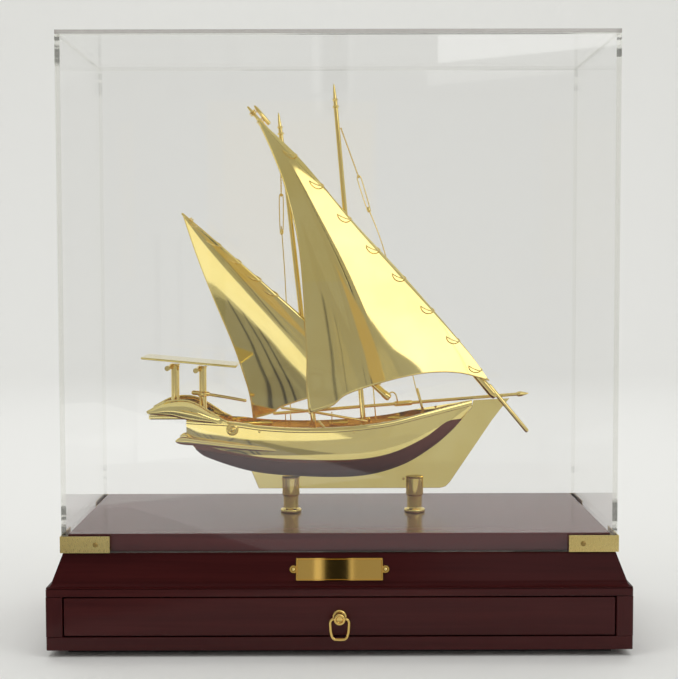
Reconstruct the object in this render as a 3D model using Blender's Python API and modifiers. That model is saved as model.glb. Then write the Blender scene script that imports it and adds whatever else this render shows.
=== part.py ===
"""Display case for a scale model: a mahogany base with a drawer, a lift-off clear cover, and a brass dhow.

Metres, +Z up. The origin is at the middle of the felt that the case stands on. The front, with the drawer,
faces -Y, and the ship's bow points to +X.
"""

import math

import bmesh
import bpy
from mathutils import Matrix, Vector

# ---------------------------------------------------------------- driving dimensions, in metres

GAP = 0.0003  # between pieces that touch

COVER_WIDTH = 0.400
COVER_DEPTH = 0.174
COVER_SHEET = 0.003
CASE_HEIGHT = 0.446

FELT_THICKNESS = 0.0016
PLINTH_HEIGHT = 0.005
PLINTH_RECESS = 0.010
CARCASS_OVERHANG = 0.010  # carcass beyond the cover, each side
BOTTOM_BOARD = 0.0095
STILE_WIDTH = 0.012
BACK_BOARD = 0.008
OPENING_TOP = 0.0438
CARCASS_TOP = 0.049
LEDGE_HEIGHT = 0.0735  # where the cover stands
COVE_BACK = 0.022
DECK_TOP = 0.0865
DECK_CLEARANCE = 0.001  # deck block to the cover's inner faces

DRAWER_GAP = 0.001
DRAWER_FRONT = 0.009
DRAWER_SIDE = 0.007
DRAWER_SIDE_HEIGHT = 0.0235
DRAWER_LENGTH = 0.166
DRAWER_BOTTOM = 0.003

PULL_ROSETTE_RADIUS = 0.0050
PULL_ROSETTE_THICKNESS = 0.0010
PULL_SHANK_RADIUS = 0.0019
PULL_HEAD_RADIUS = 0.0043
PULL_HEAD_LENGTH = 0.0055
PULL_PROJECTION = 0.0090
BAIL_WIRE = 0.0010
BAIL_HALF_WIDTH = 0.0067
BAIL_DROP = 0.0148

PLATE_WIDTH = 0.0626
PLATE_HEIGHT = 0.0163
PLATE_THICKNESS = 0.0012
PLATE_RIM = 0.0011
EYELET_RADIUS = 0.0029
EYELET_HOLE = 0.0012

BRACKET_LEG = 0.036
BRACKET_HEIGHT = 0.012
BRACKET_SHEET = 0.0008
BRACKET_SCREW_FROM_CORNER = 0.0245
SCREW_SHANK = 0.00095
SCREW_HOLE = 0.00130
SCREW_HEAD = 0.0018

POST_STATIONS = (-0.0378, 0.0592)  # x of the aft and the fore post
POST_HEIGHT = 0.0282
KEEL_THICKNESS = 0.0016
KEEL_BOTTOM = 0.1052
POST_SLOT = 0.0022

HULL_WALL = 0.0012
DECK_BELOW_SHEER = 0.0065
DECK_SHEET = 0.0012
MAST_STEP = 0.0005  # mast foot above the deck, where the solder is
SAIL_THICKNESS = 0.0008

CARCASS_WIDTH = COVER_WIDTH + 2 * CARCASS_OVERHANG
CARCASS_DEPTH = COVER_DEPTH + 2 * CARCASS_OVERHANG
OPENING_BOTTOM = PLINTH_HEIGHT + BOTTOM_BOARD
OPENING_HALF_WIDTH = CARCASS_WIDTH / 2 - STILE_WIDTH
FRONT_FACE = -CARCASS_DEPTH / 2
PULL_HEIGHT = (OPENING_BOTTOM + OPENING_TOP) / 2
BAIL_AXIS_Y = FRONT_FACE - PULL_PROJECTION + PULL_HEAD_LENGTH / 2
SCREW_HEIGHT = LEDGE_HEIGHT + BRACKET_HEIGHT / 2

# ---------------------------------------------------------------- scene, materials, collections

for leftover in list(bpy.data.objects):
    bpy.data.objects.remove(leftover, do_unlink=True)


def collection(name):
    made = bpy.data.collections.new(name)
    bpy.context.scene.collection.children.link(made)
    return made


PARTS = collection("display_case")
CUTTERS = collection("cutters")


def material(name, colour, roughness, metallic=0.0, alpha=1.0):
    made = bpy.data.materials.new(name)
    made.use_nodes = True
    shader = made.node_tree.nodes["Principled BSDF"]
    shader.inputs["Base Color"].default_value = (*colour, 1.0)
    shader.inputs["Roughness"].default_value = roughness
    shader.inputs["Metallic"].default_value = metallic
    shader.inputs["Alpha"].default_value = alpha
    return made


FELT = material("black_felt", (0.012, 0.012, 0.013), 0.95)
MAHOGANY = material("mahogany_lacquer", (0.075, 0.016, 0.012), 0.18)
DRAWER_WOOD = material("drawer_birch", (0.42, 0.27, 0.15), 0.55)
ACRYLIC = material("clear_acrylic", (0.92, 0.97, 0.94), 0.03, alpha=0.15)
BRASS = material("polished_brass", (0.86, 0.62, 0.25), 0.16, metallic=1.0)
GOLD = material("gold_plate", (0.93, 0.72, 0.32), 0.10, metallic=1.0)


def empty(name, place=(0.0, 0.0, 0.0), parent=None):
    made = bpy.data.objects.new(name, None)
    PARTS.objects.link(made)
    made.location = place
    made.parent = parent
    return made


BASE = empty("base")
COVER = empty("cover", (0.0, 0.0, LEDGE_HEIGHT))
DRAWER = empty("drawer", (0.0, FRONT_FACE, PULL_HEIGHT), BASE)
BAIL = empty("bail_axis", (0.0, BAIL_AXIS_Y - FRONT_FACE, 0.0), DRAWER)
SHIP = empty("ship", (0.0, 0.0, 0.0), BASE)


def origin_of(parent):
    """Where a parent empty stands in the world."""
    place = Vector((0.0, 0.0, 0.0))
    while parent is not None:
        place += parent.location
        parent = parent.parent
    return place


# ---------------------------------------------------------------- modelling helpers


def add(name, data, look, parent, place=(0.0, 0.0, 0.0)):
    """An object at a world place, under its parent empty."""
    made = bpy.data.objects.new(name, data)
    PARTS.objects.link(made)
    made.parent = parent
    made.location = Vector(place) - origin_of(parent)
    data.materials.append(look)
    return made


def bevel(obj, width, segments=1):
    modifier = obj.modifiers.new("edges", "BEVEL")
    modifier.width = width
    modifier.segments = segments
    modifier.limit_method = "ANGLE"
    modifier.angle_limit = math.radians(40)


def smooth(obj, angle=35):
    obj.data.shade_smooth()
    obj.data.set_sharp_from_angle(angle=math.radians(angle))


def box_mesh(name, size):
    mesh = bpy.data.meshes.new(name)
    shape = bmesh.new()
    bmesh.ops.create_cube(shape, size=1.0)
    bmesh.ops.scale(shape, vec=Vector(size), verts=shape.verts)
    shape.to_mesh(mesh)
    shape.free()
    return mesh


def block(name, low, high, look, parent, edge=0.0):
    """A box between two world corners, with its edges eased."""
    low, high = Vector(low), Vector(high)
    made = add(name, box_mesh(name, high - low), look, parent, (low + high) / 2)
    if edge:
        bevel(made, edge)
    return made


def cylinder_mesh(name, radius, length, sides=20, axis="Z"):
    mesh = bpy.data.meshes.new(name)
    shape = bmesh.new()
    bmesh.ops.create_cone(shape, cap_ends=True, segments=sides, radius1=radius, radius2=radius, depth=length)
    turn = {"X": ("Y", 90), "Y": ("X", 90), "Z": ("Z", 0)}[axis]
    bmesh.ops.rotate(shape, matrix=Matrix.Rotation(math.radians(turn[1]), 3, turn[0]), verts=shape.verts)
    shape.to_mesh(mesh)
    shape.free()
    return mesh


def turned_mesh(name, profile):
    """A turned solid about Z. The profile runs down the outside, from the axis at the top to the axis below."""
    mesh = bpy.data.meshes.new(name)
    shape = bmesh.new()
    points = [shape.verts.new((radius, 0.0, height)) for radius, height in profile]
    for first, second in zip(points, points[1:]):
        shape.edges.new((first, second))
    if profile[0][0] > 0:
        shape.edges.new((points[-1], points[0]))
    shape.to_mesh(mesh)
    shape.free()
    return mesh


def spin(obj, sides=24):
    modifier = obj.modifiers.new("turned", "SCREW")
    modifier.steps = sides
    modifier.render_steps = sides
    modifier.use_merge_vertices = True
    modifier.merge_threshold = 0.00001
    modifier.use_smooth_shade = True


def turned(name, profile, look, parent, place, sides=24):
    made = add(name, turned_mesh(name, profile), look, parent, place)
    spin(made, sides)
    return made


def aim(obj, direction):
    """Turns an object so that its own +Z points along a direction."""
    obj.rotation_mode = "QUATERNION"
    obj.rotation_quaternion = Vector(direction).to_track_quat("Z", "Y")


def cut(obj, mesh, place, operation="DIFFERENCE", rotation=None):
    """Cuts or joins a helper mesh, standing at a world place, into an object."""
    helper = bpy.data.objects.new(f"{obj.name}_{mesh.name}", mesh)
    CUTTERS.objects.link(helper)
    helper.location = place
    if rotation is not None:
        helper.rotation_mode = "QUATERNION"
        helper.rotation_quaternion = rotation
    helper.hide_render = True
    helper.display_type = "WIRE"
    modifier = obj.modifiers.new(mesh.name, "BOOLEAN")
    modifier.operation = operation
    modifier.object = helper
    modifier.solver = "EXACT"


def wire(name, points, radius, look, parent, resolution=2):
    """A round wire through world points."""
    curve = bpy.data.curves.new(name, "CURVE")
    curve.dimensions = "3D"
    curve.bevel_depth = radius
    curve.bevel_resolution = resolution
    curve.use_fill_caps = True
    spline = curve.splines.new("POLY")
    spline.points.add(len(points) - 1)
    base = origin_of(parent)
    for target, point in zip(spline.points, points):
        target.co = (*(Vector(point) - base), 1.0)
    made = add(name, curve, look, parent, base)
    return made


def plate_mesh(name, outline, thickness):
    """A flat plate from a closed XY outline, centred on z = 0, as one welded mesh."""
    curve = bpy.data.curves.new(name, "CURVE")
    curve.dimensions = "2D"
    curve.fill_mode = "BOTH"
    curve.extrude = thickness / 2
    spline = curve.splines.new("POLY")
    spline.points.add(len(outline) - 1)
    spline.use_cyclic_u = True
    for target, (x, y) in zip(spline.points, outline):
        target.co = (x, y, 0.0, 1.0)
    flat = bpy.data.objects.new(name, curve)
    CUTTERS.objects.link(flat)
    graph = bpy.context.evaluated_depsgraph_get()
    mesh = bpy.data.meshes.new_from_object(flat.evaluated_get(graph))
    bpy.data.objects.remove(flat, do_unlink=True)
    shape = bmesh.new()
    shape.from_mesh(mesh)
    bmesh.ops.remove_doubles(shape, verts=shape.verts, dist=0.00001)
    bmesh.ops.recalc_face_normals(shape, faces=shape.faces)
    shape.to_mesh(mesh)
    shape.free()
    mesh.name = name
    mesh.materials.clear()
    return mesh


def loft_mesh(name, rings):
    """A closed solid through rings of equal point counts, with its two ends capped."""
    mesh = bpy.data.meshes.new(name)
    shape = bmesh.new()
    grid = [[shape.verts.new(point) for point in ring] for ring in rings]
    count = len(rings[0])
    for first, second in zip(grid, grid[1:]):
        for i in range(count):
            j = (i + 1) % count
            shape.faces.new((first[i], first[j], second[j], second[i]))
    shape.faces.new(grid[0])
    shape.faces.new(grid[-1])
    bmesh.ops.recalc_face_normals(shape, faces=shape.faces)
    shape.to_mesh(mesh)
    shape.free()
    return mesh


def along(points, x):
    """The height of a smooth line through (x, value) points, by cubic Hermite steps."""
    if x <= points[0][0]:
        return points[0][1]
    if x >= points[-1][0]:
        return points[-1][1]
    slopes = []
    for i in range(len(points)):
        before, after = points[max(i - 1, 0)], points[min(i + 1, len(points) - 1)]
        slopes.append((after[1] - before[1]) / (after[0] - before[0]))
    for i in range(len(points) - 1):
        (x0, y0), (x1, y1) = points[i], points[i + 1]
        if x <= x1:
            break
    step = x1 - x0
    t = (x - x0) / step
    return (
        y0 * (2 * t**3 - 3 * t**2 + 1)
        + slopes[i] * step * (t**3 - 2 * t**2 + t)
        + y1 * (3 * t**2 - 2 * t**3)
        + slopes[i + 1] * step * (t**3 - t**2)
    )


def polyline_at(points, share):
    """The point at a share of a polyline's length, from 0 to 1."""
    points = [Vector(p) for p in points]
    lengths = [(b - a).length for a, b in zip(points, points[1:])]
    target = share * sum(lengths)
    for a, b, length in zip(points, points[1:], lengths):
        if target <= length:
            return a.lerp(b, target / length)
        target -= length
    return points[-1]


# ---------------------------------------------------------------- base


def make_foot():
    half_x = CARCASS_WIDTH / 2 - PLINTH_RECESS
    half_y = CARCASS_DEPTH / 2 - PLINTH_RECESS
    inset = 0.003
    block("felt_base", (-half_x + inset, -half_y + inset, 0), (half_x - inset, half_y - inset, FELT_THICKNESS),
          FELT, BASE)
    block("plinth_board", (-half_x, -half_y, FELT_THICKNESS + GAP), (half_x, half_y, PLINTH_HEIGHT - GAP),
          MAHOGANY, BASE)


def make_carcass():
    half_x, half_y = CARCASS_WIDTH / 2, CARCASS_DEPTH / 2
    low, high = OPENING_BOTTOM + GAP, OPENING_TOP - GAP
    block("carcass_bottom", (-half_x, -half_y, PLINTH_HEIGHT), (half_x, half_y, OPENING_BOTTOM),
          MAHOGANY, BASE, 0.0006)
    block("carcass_top", (-half_x, -half_y, OPENING_TOP), (half_x, half_y, CARCASS_TOP), MAHOGANY, BASE, 0.0008)
    for side, name in ((-1, "carcass_side_left"), (1, "carcass_side_right")):
        edges = sorted((side * OPENING_HALF_WIDTH, side * half_x))
        block(name, (edges[0], -half_y, low), (edges[1], half_y, high), MAHOGANY, BASE, 0.0005)
    reach = OPENING_HALF_WIDTH - GAP
    block("carcass_back", (-reach, half_y - BACK_BOARD, low), (reach, half_y, high), MAHOGANY, BASE)


def cove_profile():
    """(distance out from the cover's outer face, height), round the section: a slope, then a flare at its foot."""
    top, bottom = LEDGE_HEIGHT - GAP, CARCASS_TOP + GAP
    flare_start, flare_end = (0.0060, 0.0540), (0.0096, 0.0503)
    points = [(-0.0004, top), flare_start]
    for step in range(1, 6):
        turn = math.radians(90 * step / 6)
        points.append((
            flare_end[0] - (flare_end[0] - flare_start[0]) * math.cos(turn),
            flare_start[1] - (flare_start[1] - flare_end[1]) * math.sin(turn),
        ))
    return points + [flare_end, (flare_end[0], bottom), (-COVE_BACK, bottom), (-COVE_BACK, top)]


def make_cove():
    """Four mitred lengths of moulding, each lofted between its two mitres."""
    half_x, half_y = COVER_WIDTH / 2, COVER_DEPTH / 2
    sides = (("cove_front", half_x, half_y, 0), ("cove_right", half_y, half_x, 90),
             ("cove_rear", half_x, half_y, 180), ("cove_left", half_y, half_x, 270))
    made = {}
    for name, reach, distance, angle in sides:
        rings = [
            [(end * (reach + out - GAP), -(distance + out), height) for out, height in cove_profile()]
            for end in (-1, 1)
        ]
        made[name] = add(name, loft_mesh(name, rings), MAHOGANY, BASE)
        made[name].rotation_euler = (0, 0, math.radians(angle))
    return made


def make_deck():
    half_x = COVER_WIDTH / 2 - COVER_SHEET - DECK_CLEARANCE
    half_y = COVER_DEPTH / 2 - COVER_SHEET - DECK_CLEARANCE
    block("display_deck", (-half_x, -half_y, LEDGE_HEIGHT), (half_x, half_y, DECK_TOP), MAHOGANY, BASE, 0.0008)


def make_nameplate(cove):
    """A rimmed brass plate with an eyelet at each end, pinned to the sloping face of the front moulding."""
    (out_top, z_top), (out_low, z_low) = cove_profile()[:2]
    slope = math.atan2(out_low - out_top, z_top - z_low)
    middle_z = (z_top + z_low) / 2 - 0.0018
    middle_out = out_top + (z_top - middle_z) * math.tan(slope)
    normal = Vector((0.0, -math.cos(slope), math.sin(slope)))
    centre = Vector((0.0, -(COVER_DEPTH / 2 + middle_out), middle_z)) + normal * (GAP + PLATE_THICKNESS / 2)
    lean = normal.to_track_quat("Z", "Y")

    plate = add("nameplate", box_mesh("nameplate", (PLATE_WIDTH, PLATE_HEIGHT, PLATE_THICKNESS)), BRASS, BASE, centre)
    plate.rotation_mode = "QUATERNION"
    plate.rotation_quaternion = lean
    field = box_mesh("field", (PLATE_WIDTH - 2 * PLATE_RIM, PLATE_HEIGHT - 2 * PLATE_RIM, PLATE_THICKNESS))
    cut(plate, field, centre + normal * PLATE_THICKNESS * 0.65, rotation=lean)
    eyelet_x = PLATE_WIDTH / 2 + EYELET_RADIUS * 0.6
    for side, name in ((-1, "nameplate_pin_left"), (1, "nameplate_pin_right")):
        place = centre + Vector((side * eyelet_x, 0, 0))
        ring = cylinder_mesh(f"eyelet_{name[-5:]}", EYELET_RADIUS, PLATE_THICKNESS * 0.8)
        cut(plate, ring, place - normal * PLATE_THICKNESS * 0.1, "UNION", lean)
        cut(plate, cylinder_mesh(f"hole_{name[-5:]}", EYELET_HOLE, 0.004, 16), place, rotation=lean)
        pilot = cylinder_mesh(f"pilot_{name[-5:]}", 0.0009, 0.012, 12)
        cut(cove, pilot, place, rotation=lean)
        pin = turned(name, [(0, 0.0018), (0.0010, 0.0016), (0.0015, 0.0011), (0.0015, 0.0009), (0.0006, 0.0009),
                            (0.0006, -0.0045), (0, -0.0055)], BRASS, BASE, place, 12)
        aim(pin, normal)
    return plate


# ---------------------------------------------------------------- drawer


def make_drawer():
    low, high = OPENING_BOTTOM + DRAWER_GAP, OPENING_TOP - DRAWER_GAP
    half_x = OPENING_HALF_WIDTH - DRAWER_GAP
    inner_face = FRONT_FACE + DRAWER_FRONT
    front = block("drawer_front", (-half_x, FRONT_FACE, low), (half_x, inner_face, high), MAHOGANY, DRAWER, 0.0007)
    bore = cylinder_mesh("shank_bore", PULL_SHANK_RADIUS + GAP, 0.02, 20, "Y")
    cut(front, bore, (0, FRONT_FACE + DRAWER_FRONT / 2, PULL_HEIGHT))

    start, end = inner_face + GAP, inner_face + GAP + DRAWER_LENGTH
    top = low + DRAWER_SIDE_HEIGHT
    outer = half_x - 0.0005
    inner = outer - DRAWER_SIDE
    for side, name in ((-1, "drawer_side_left"), (1, "drawer_side_right")):
        edges = sorted((side * inner, side * outer))
        block(name, (edges[0], start, low), (edges[1], end, top), DRAWER_WOOD, DRAWER, 0.0005)
    reach = inner - GAP
    block("drawer_back", (-reach, end - DRAWER_SIDE, low), (reach, end, top), DRAWER_WOOD, DRAWER, 0.0005)
    block("drawer_bottom", (-reach, start, low + 0.001), (reach, end - DRAWER_SIDE - GAP, low + 0.001 + DRAWER_BOTTOM),
          DRAWER_WOOD, DRAWER)


def make_pull():
    """A rosette, a stud with a cross hole, its nut inside the drawer, and a bail that hangs in the cross hole."""
    face = (0, FRONT_FACE, PULL_HEIGHT)
    outward = (0, -1, 0)
    near, far = GAP, GAP + PULL_ROSETTE_THICKNESS
    bore = PULL_SHANK_RADIUS + GAP
    rosette = turned("pull_rosette", [(bore, far), (PULL_ROSETTE_RADIUS - 0.0006, far),
                                      (PULL_ROSETTE_RADIUS, far - 0.0005), (PULL_ROSETTE_RADIUS, near),
                                      (bore, near)], BRASS, DRAWER, face)
    aim(rosette, outward)

    tip = PULL_PROJECTION
    root = PULL_PROJECTION - PULL_HEAD_LENGTH
    rim = PULL_HEAD_RADIUS
    stud = turned("pull_stud", [
        (0, tip - 0.0011), (rim * 0.50, tip - 0.0009), (rim * 0.68, tip - 0.0001), (rim * 0.85, tip),
        (rim, tip - 0.0008), (rim, root + 0.0014), (rim * 0.72, root + 0.0002),
        (0.0026, root - 0.0004), (0.0024, far + GAP), (PULL_SHANK_RADIUS, far + GAP),
        (PULL_SHANK_RADIUS, -DRAWER_FRONT - 0.0032), (0, -DRAWER_FRONT - 0.0032)], BRASS, DRAWER, face)
    aim(stud, outward)
    cut(stud, cylinder_mesh("cross_hole", BAIL_WIRE + GAP, 0.02, 16, "X"), (0, BAIL_AXIS_Y, PULL_HEIGHT))

    nut_y = FRONT_FACE + DRAWER_FRONT + GAP + 0.0012
    nut = add("pull_nut", cylinder_mesh("pull_nut", 0.0034, 0.0024, 6, "Y"), BRASS, DRAWER, (0, nut_y, PULL_HEIGHT))
    cut(nut, cylinder_mesh("thread", bore, 0.006, 16, "Y"), (0, nut_y, PULL_HEIGHT))

    wide, drop = BAIL_HALF_WIDTH, BAIL_DROP
    half = [(0.0026, 0.0), (0.0048, 0.0), (0.0060, -0.0005), (wide - 0.0001, -0.0018), (wide, -0.0035),
            (wide - 0.0002, -0.0085), (wide - 0.0007, drop * -0.76), (wide - 0.0017, drop * -0.90),
            (wide - 0.0034, drop * -0.98)]
    route = half + [(0.0, -drop)] + [(-x, z) for x, z in reversed(half)]
    wire("pull_bail", [(x, BAIL_AXIS_Y, PULL_HEIGHT + z) for x, z in route], BAIL_WIRE, BRASS, BAIL, 3)


# ---------------------------------------------------------------- cover


def screw_places():
    """Name, place on the bracket's outer face and outward direction of each of the eight bracket screws."""
    out_x = COVER_WIDTH / 2 + GAP + BRACKET_SHEET
    out_y = COVER_DEPTH / 2 + GAP + BRACKET_SHEET
    along_x = COVER_WIDTH / 2 - BRACKET_SCREW_FROM_CORNER
    along_y = COVER_DEPTH / 2 - BRACKET_SCREW_FROM_CORNER
    for y_side, face in ((-1, "front"), (1, "rear")):
        for x_side, hand in ((-1, "left"), (1, "right")):
            yield (f"bracket_screw_{face}_{hand}_a", (x_side * along_x, y_side * out_y, SCREW_HEIGHT), (0, y_side, 0))
            yield (f"bracket_screw_{face}_{hand}_b", (x_side * out_x, y_side * along_y, SCREW_HEIGHT), (x_side, 0, 0))


def make_cover():
    half_x, half_y, sheet = COVER_WIDTH / 2, COVER_DEPTH / 2, COVER_SHEET
    low, high = LEDGE_HEIGHT, CASE_HEIGHT - sheet
    block("cover_top", (-half_x, -half_y, high), (half_x, half_y, CASE_HEIGHT), ACRYLIC, COVER)
    for side, name in ((-1, "cover_front"), (1, "cover_rear")):
        edges = sorted((side * half_y, side * (half_y - sheet)))
        panel = block(name, (-half_x, edges[0], low), (half_x, edges[1], high - GAP), ACRYLIC, COVER)
        for x_side in (-1, 1):
            hole = cylinder_mesh(f"hole_{x_side}", SCREW_HOLE, 0.012, 12, "Y")
            cut(panel, hole, (x_side * (half_x - BRACKET_SCREW_FROM_CORNER), side * half_y, SCREW_HEIGHT))
    for side, name in ((-1, "cover_left"), (1, "cover_right")):
        edges = sorted((side * half_x, side * (half_x - sheet)))
        inner = half_y - sheet - GAP
        panel = block(name, (edges[0], -inner, low), (edges[1], inner, high - GAP), ACRYLIC, COVER)
        for y_side in (-1, 1):
            hole = cylinder_mesh(f"hole_{y_side}", SCREW_HOLE, 0.012, 12, "X")
            cut(panel, hole, (side * half_x, y_side * (half_y - BRACKET_SCREW_FROM_CORNER), SCREW_HEIGHT))


def make_brackets():
    """Four brass angles round the cover's lower corners, with a round-head screw in each leg."""
    inner_x, inner_y = COVER_WIDTH / 2 + GAP, COVER_DEPTH / 2 + GAP
    outer_x, outer_y = inner_x + BRACKET_SHEET, inner_y + BRACKET_SHEET
    end_x, end_y = outer_x - BRACKET_LEG, outer_y - BRACKET_LEG
    for y_side, face in ((-1, "front"), (1, "rear")):
        for x_side, hand in ((-1, "left"), (1, "right")):
            outline = [(outer_x, outer_y), (end_x, outer_y), (end_x, inner_y), (inner_x, inner_y),
                       (inner_x, end_y), (outer_x, end_y)]
            outline = [(x_side * x, y_side * y) for x, y in outline]
            name = f"corner_bracket_{face}_{hand}"
            made = add(name, plate_mesh(name, outline, BRACKET_HEIGHT), BRASS, COVER, (0, 0, SCREW_HEIGHT))
            for axis, place in (
                ("Y", (x_side * (COVER_WIDTH / 2 - BRACKET_SCREW_FROM_CORNER), y_side * outer_y, SCREW_HEIGHT)),
                ("X", (x_side * outer_x, y_side * (COVER_DEPTH / 2 - BRACKET_SCREW_FROM_CORNER), SCREW_HEIGHT)),
            ):
                cut(made, cylinder_mesh(f"hole_{axis}", SCREW_HOLE, 0.006, 12, axis), place)
    reach = BRACKET_SHEET + GAP + COVER_SHEET - GAP
    profile = [(0, GAP + 0.0010), (SCREW_HEAD * 0.62, GAP + 0.0008), (SCREW_HEAD, GAP + 0.0002), (SCREW_HEAD, GAP),
               (SCREW_SHANK, GAP), (SCREW_SHANK, -reach + 0.0004), (0, -reach)]
    for name, place, outward in screw_places():
        aim(turned(name, profile, BRASS, COVER, place, 12), outward)


# ---------------------------------------------------------------- ship

# (x, height) along the hull: the foot of its sections, its top edge, and its half-beam at that edge.
HULL_FOOT = [(-0.118, 0.1440), (-0.112, 0.1370), (-0.104, 0.1310), (-0.069, 0.1200), (-0.030, 0.1160),
             (0.017, 0.1162), (0.048, 0.1240), (0.071, 0.1370), (0.088, 0.1510), (0.104, 0.1690)]
HULL_SHEER = [(-0.118, 0.1615), (-0.082, 0.1600), (-0.061, 0.1575), (-0.041, 0.1562), (-0.020, 0.1559),
              (0.001, 0.1566), (0.020, 0.1582), (0.040, 0.1608), (0.064, 0.1660), (0.104, 0.1742)]
HULL_BEAM = [(-0.118, 0.0130), (-0.100, 0.0165), (-0.085, 0.0182), (-0.060, 0.0225), (-0.010, 0.0258),
             (0.030, 0.0248), (0.060, 0.0190), (0.085, 0.0095), (0.104, 0.0016)]
HULL_STERN, HULL_BOW = HULL_FOOT[0][0], HULL_FOOT[-1][0]
FULLNESS = 0.62  # below 1 makes the sections fuller than an ellipse


def hull_ring(x, wall=0.0, above=0.0, steps=7):
    """One section of the hull as a closed ring from gunwale to gunwale, set in by a wall."""
    foot, sheer = along(HULL_FOOT, x) + 1.5 * wall, along(HULL_SHEER, x)
    beam = max(along(HULL_BEAM, x) - wall, 0.0006)
    side = []
    for step in range(steps + 1):
        turn = math.radians(90 * step / steps)
        side.append((beam * math.sin(turn) ** FULLNESS, sheer - (sheer - foot) * math.cos(turn) ** FULLNESS))
    ring = [(x, -y, z) for y, z in reversed(side)] + [(x, y, z) for y, z in side[1:]]
    if above:
        ring = [(x, -beam, sheer + above)] + ring + [(x, beam, sheer + above)]
    return ring


def stations(first, last, count):
    return [first + (last - first) * i / (count - 1) for i in range(count)]


def half_width_at(x, height, wall):
    """Half the width inside the hull at a height."""
    foot, sheer = along(HULL_FOOT, x) + 1.5 * wall, along(HULL_SHEER, x)
    beam = along(HULL_BEAM, x) - wall
    drop = min(max((sheer - height) / (sheer - foot), 0.0), 1.0)
    turn = math.acos(drop ** (1 / FULLNESS))
    return beam * math.sin(turn) ** FULLNESS


def make_hull():
    hull = add("hull", loft_mesh("hull", [hull_ring(x) for x in stations(HULL_STERN, HULL_BOW, 25)]), GOLD, SHIP)
    hollow = [hull_ring(x, HULL_WALL, 0.006) for x in stations(HULL_STERN + 0.0025, 0.0975, 23)]
    cut(hull, loft_mesh("hollow", hollow), (0, 0, 0))
    smooth(hull)

    rings = []
    for x in stations(HULL_STERN + 0.0032, 0.094, 18):
        top = deck_height(x)
        wide = half_width_at(x, top, HULL_WALL) - GAP
        narrow = half_width_at(x, top - DECK_SHEET, HULL_WALL) - GAP
        low = top - DECK_SHEET
        rings.append([(x, -wide, top), (x, wide, top), (x, narrow, low), (x, -narrow, low)])
    add("hull_deck", loft_mesh("hull_deck", rings), GOLD, SHIP)


def make_keel_plate():
    """The flat plate under the hull, which sweeps up into the stem and stands in the two posts."""
    upper = [(x, along(HULL_FOOT, x) - 0.0005) for x in stations(0.1038, -0.0690, 20)]
    stem = [(-0.0630, KEEL_BOTTOM), (0.0790, KEEL_BOTTOM), (0.0835, 0.1064), (0.0870, 0.1100), (0.1200, 0.1590),
            (0.1265, 0.1675), (0.1333, 0.1757), (0.1052, 0.1743)]
    mesh = plate_mesh("keel_plate", upper + stem, KEEL_THICKNESS)
    made = add("keel_plate", mesh, GOLD, SHIP)
    made.rotation_euler = (math.radians(90), 0, 0)


def make_posts():
    foot = DECK_TOP + GAP
    profile = [(0, POST_HEIGHT), (0.0065, POST_HEIGHT), (0.0069, POST_HEIGHT - 0.0005), (0.0069, 0.0145),
               (0.0057, 0.0128), (0.0056, 0.0065), (0.0062, 0.0042), (0.0075, 0.0028), (0.0078, 0.0022),
               (0.0078, 0.0004), (0.0075, 0), (0, 0)]
    slot = box_mesh("keel_slot", (0.030, POST_SLOT, 0.020))
    for x, name in zip(POST_STATIONS, ("stand_post_aft", "stand_post_fore")):
        post = turned(name, profile, BRASS, SHIP, (x, 0, foot))
        cut(post, slot.copy(), (x, 0, KEEL_BOTTOM - GAP + 0.010))


def rod(name, start, end, profile, parent=None, sides=16, look=None):
    """A turned rod from one world point to another. The profile is (share of the length, radius) from its start."""
    start, end = Vector(start), Vector(end)
    length = (end - start).length
    outline = [(0, length)] + [(radius, share * length) for share, radius in reversed(profile)] + [(0, 0)]
    made = turned(name, outline, look or GOLD, parent or SHIP, start, sides)
    aim(made, end - start)
    return made


def deck_height(x):
    """The height of the ship's deck."""
    return along(HULL_SHEER, x) - DECK_BELOW_SHEER


def make_masts():
    collars = [(0.930, 0.0017), (0.932, 0.0024), (0.938, 0.0024), (0.940, 0.0016), (0.950, 0.0016), (0.952, 0.0022),
               (0.957, 0.0022), (0.960, 0.0014), (0.990, 0.0009), (1.0, 0.0004)]
    shaft = [(0.0, 0.0021), (0.5, 0.0020)]
    masts = (("main_mast", 0.0196, (-0.0034, 0, 0.4195)), ("mizzen_mast", -0.0190, (-0.0462, 0, 0.3976)))
    for name, foot, top in masts:
        rod(name, (foot, 0, deck_height(foot) + MAST_STEP), top, shaft + collars)


MAIN_YARD_Y, MIZZEN_YARD_Y = -0.0057, -0.0055
STAY_WIRE = 0.0005


def make_yards():
    y = MAIN_YARD_Y
    main = rod("main_yard", (0.1215, y, 0.1774), (-0.0697, y, 0.4017),
               [(0.0, 0.0024), (0.01, 0.0031), (0.55, 0.0031), (0.90, 0.0020), (1.0, 0.0011)])
    start, end = Vector((0.1165, y, 0.1868)), Vector((0.1468, y, 0.1502))
    spar = cylinder_mesh("fore_spar", 0.0017, (end - start).length, 12)
    cut(main, spar, (start + end) / 2, "UNION", (end - start).to_track_quat("Z", "Y"))
    y = MIZZEN_YARD_Y
    rod("mizzen_yard", (0.0394, y, 0.1764), (-0.1210, y, 0.3201),
        [(0.0, 0.0026), (0.01, 0.0030), (0.50, 0.0028), (0.90, 0.0018), (1.0, 0.0010)])


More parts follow.
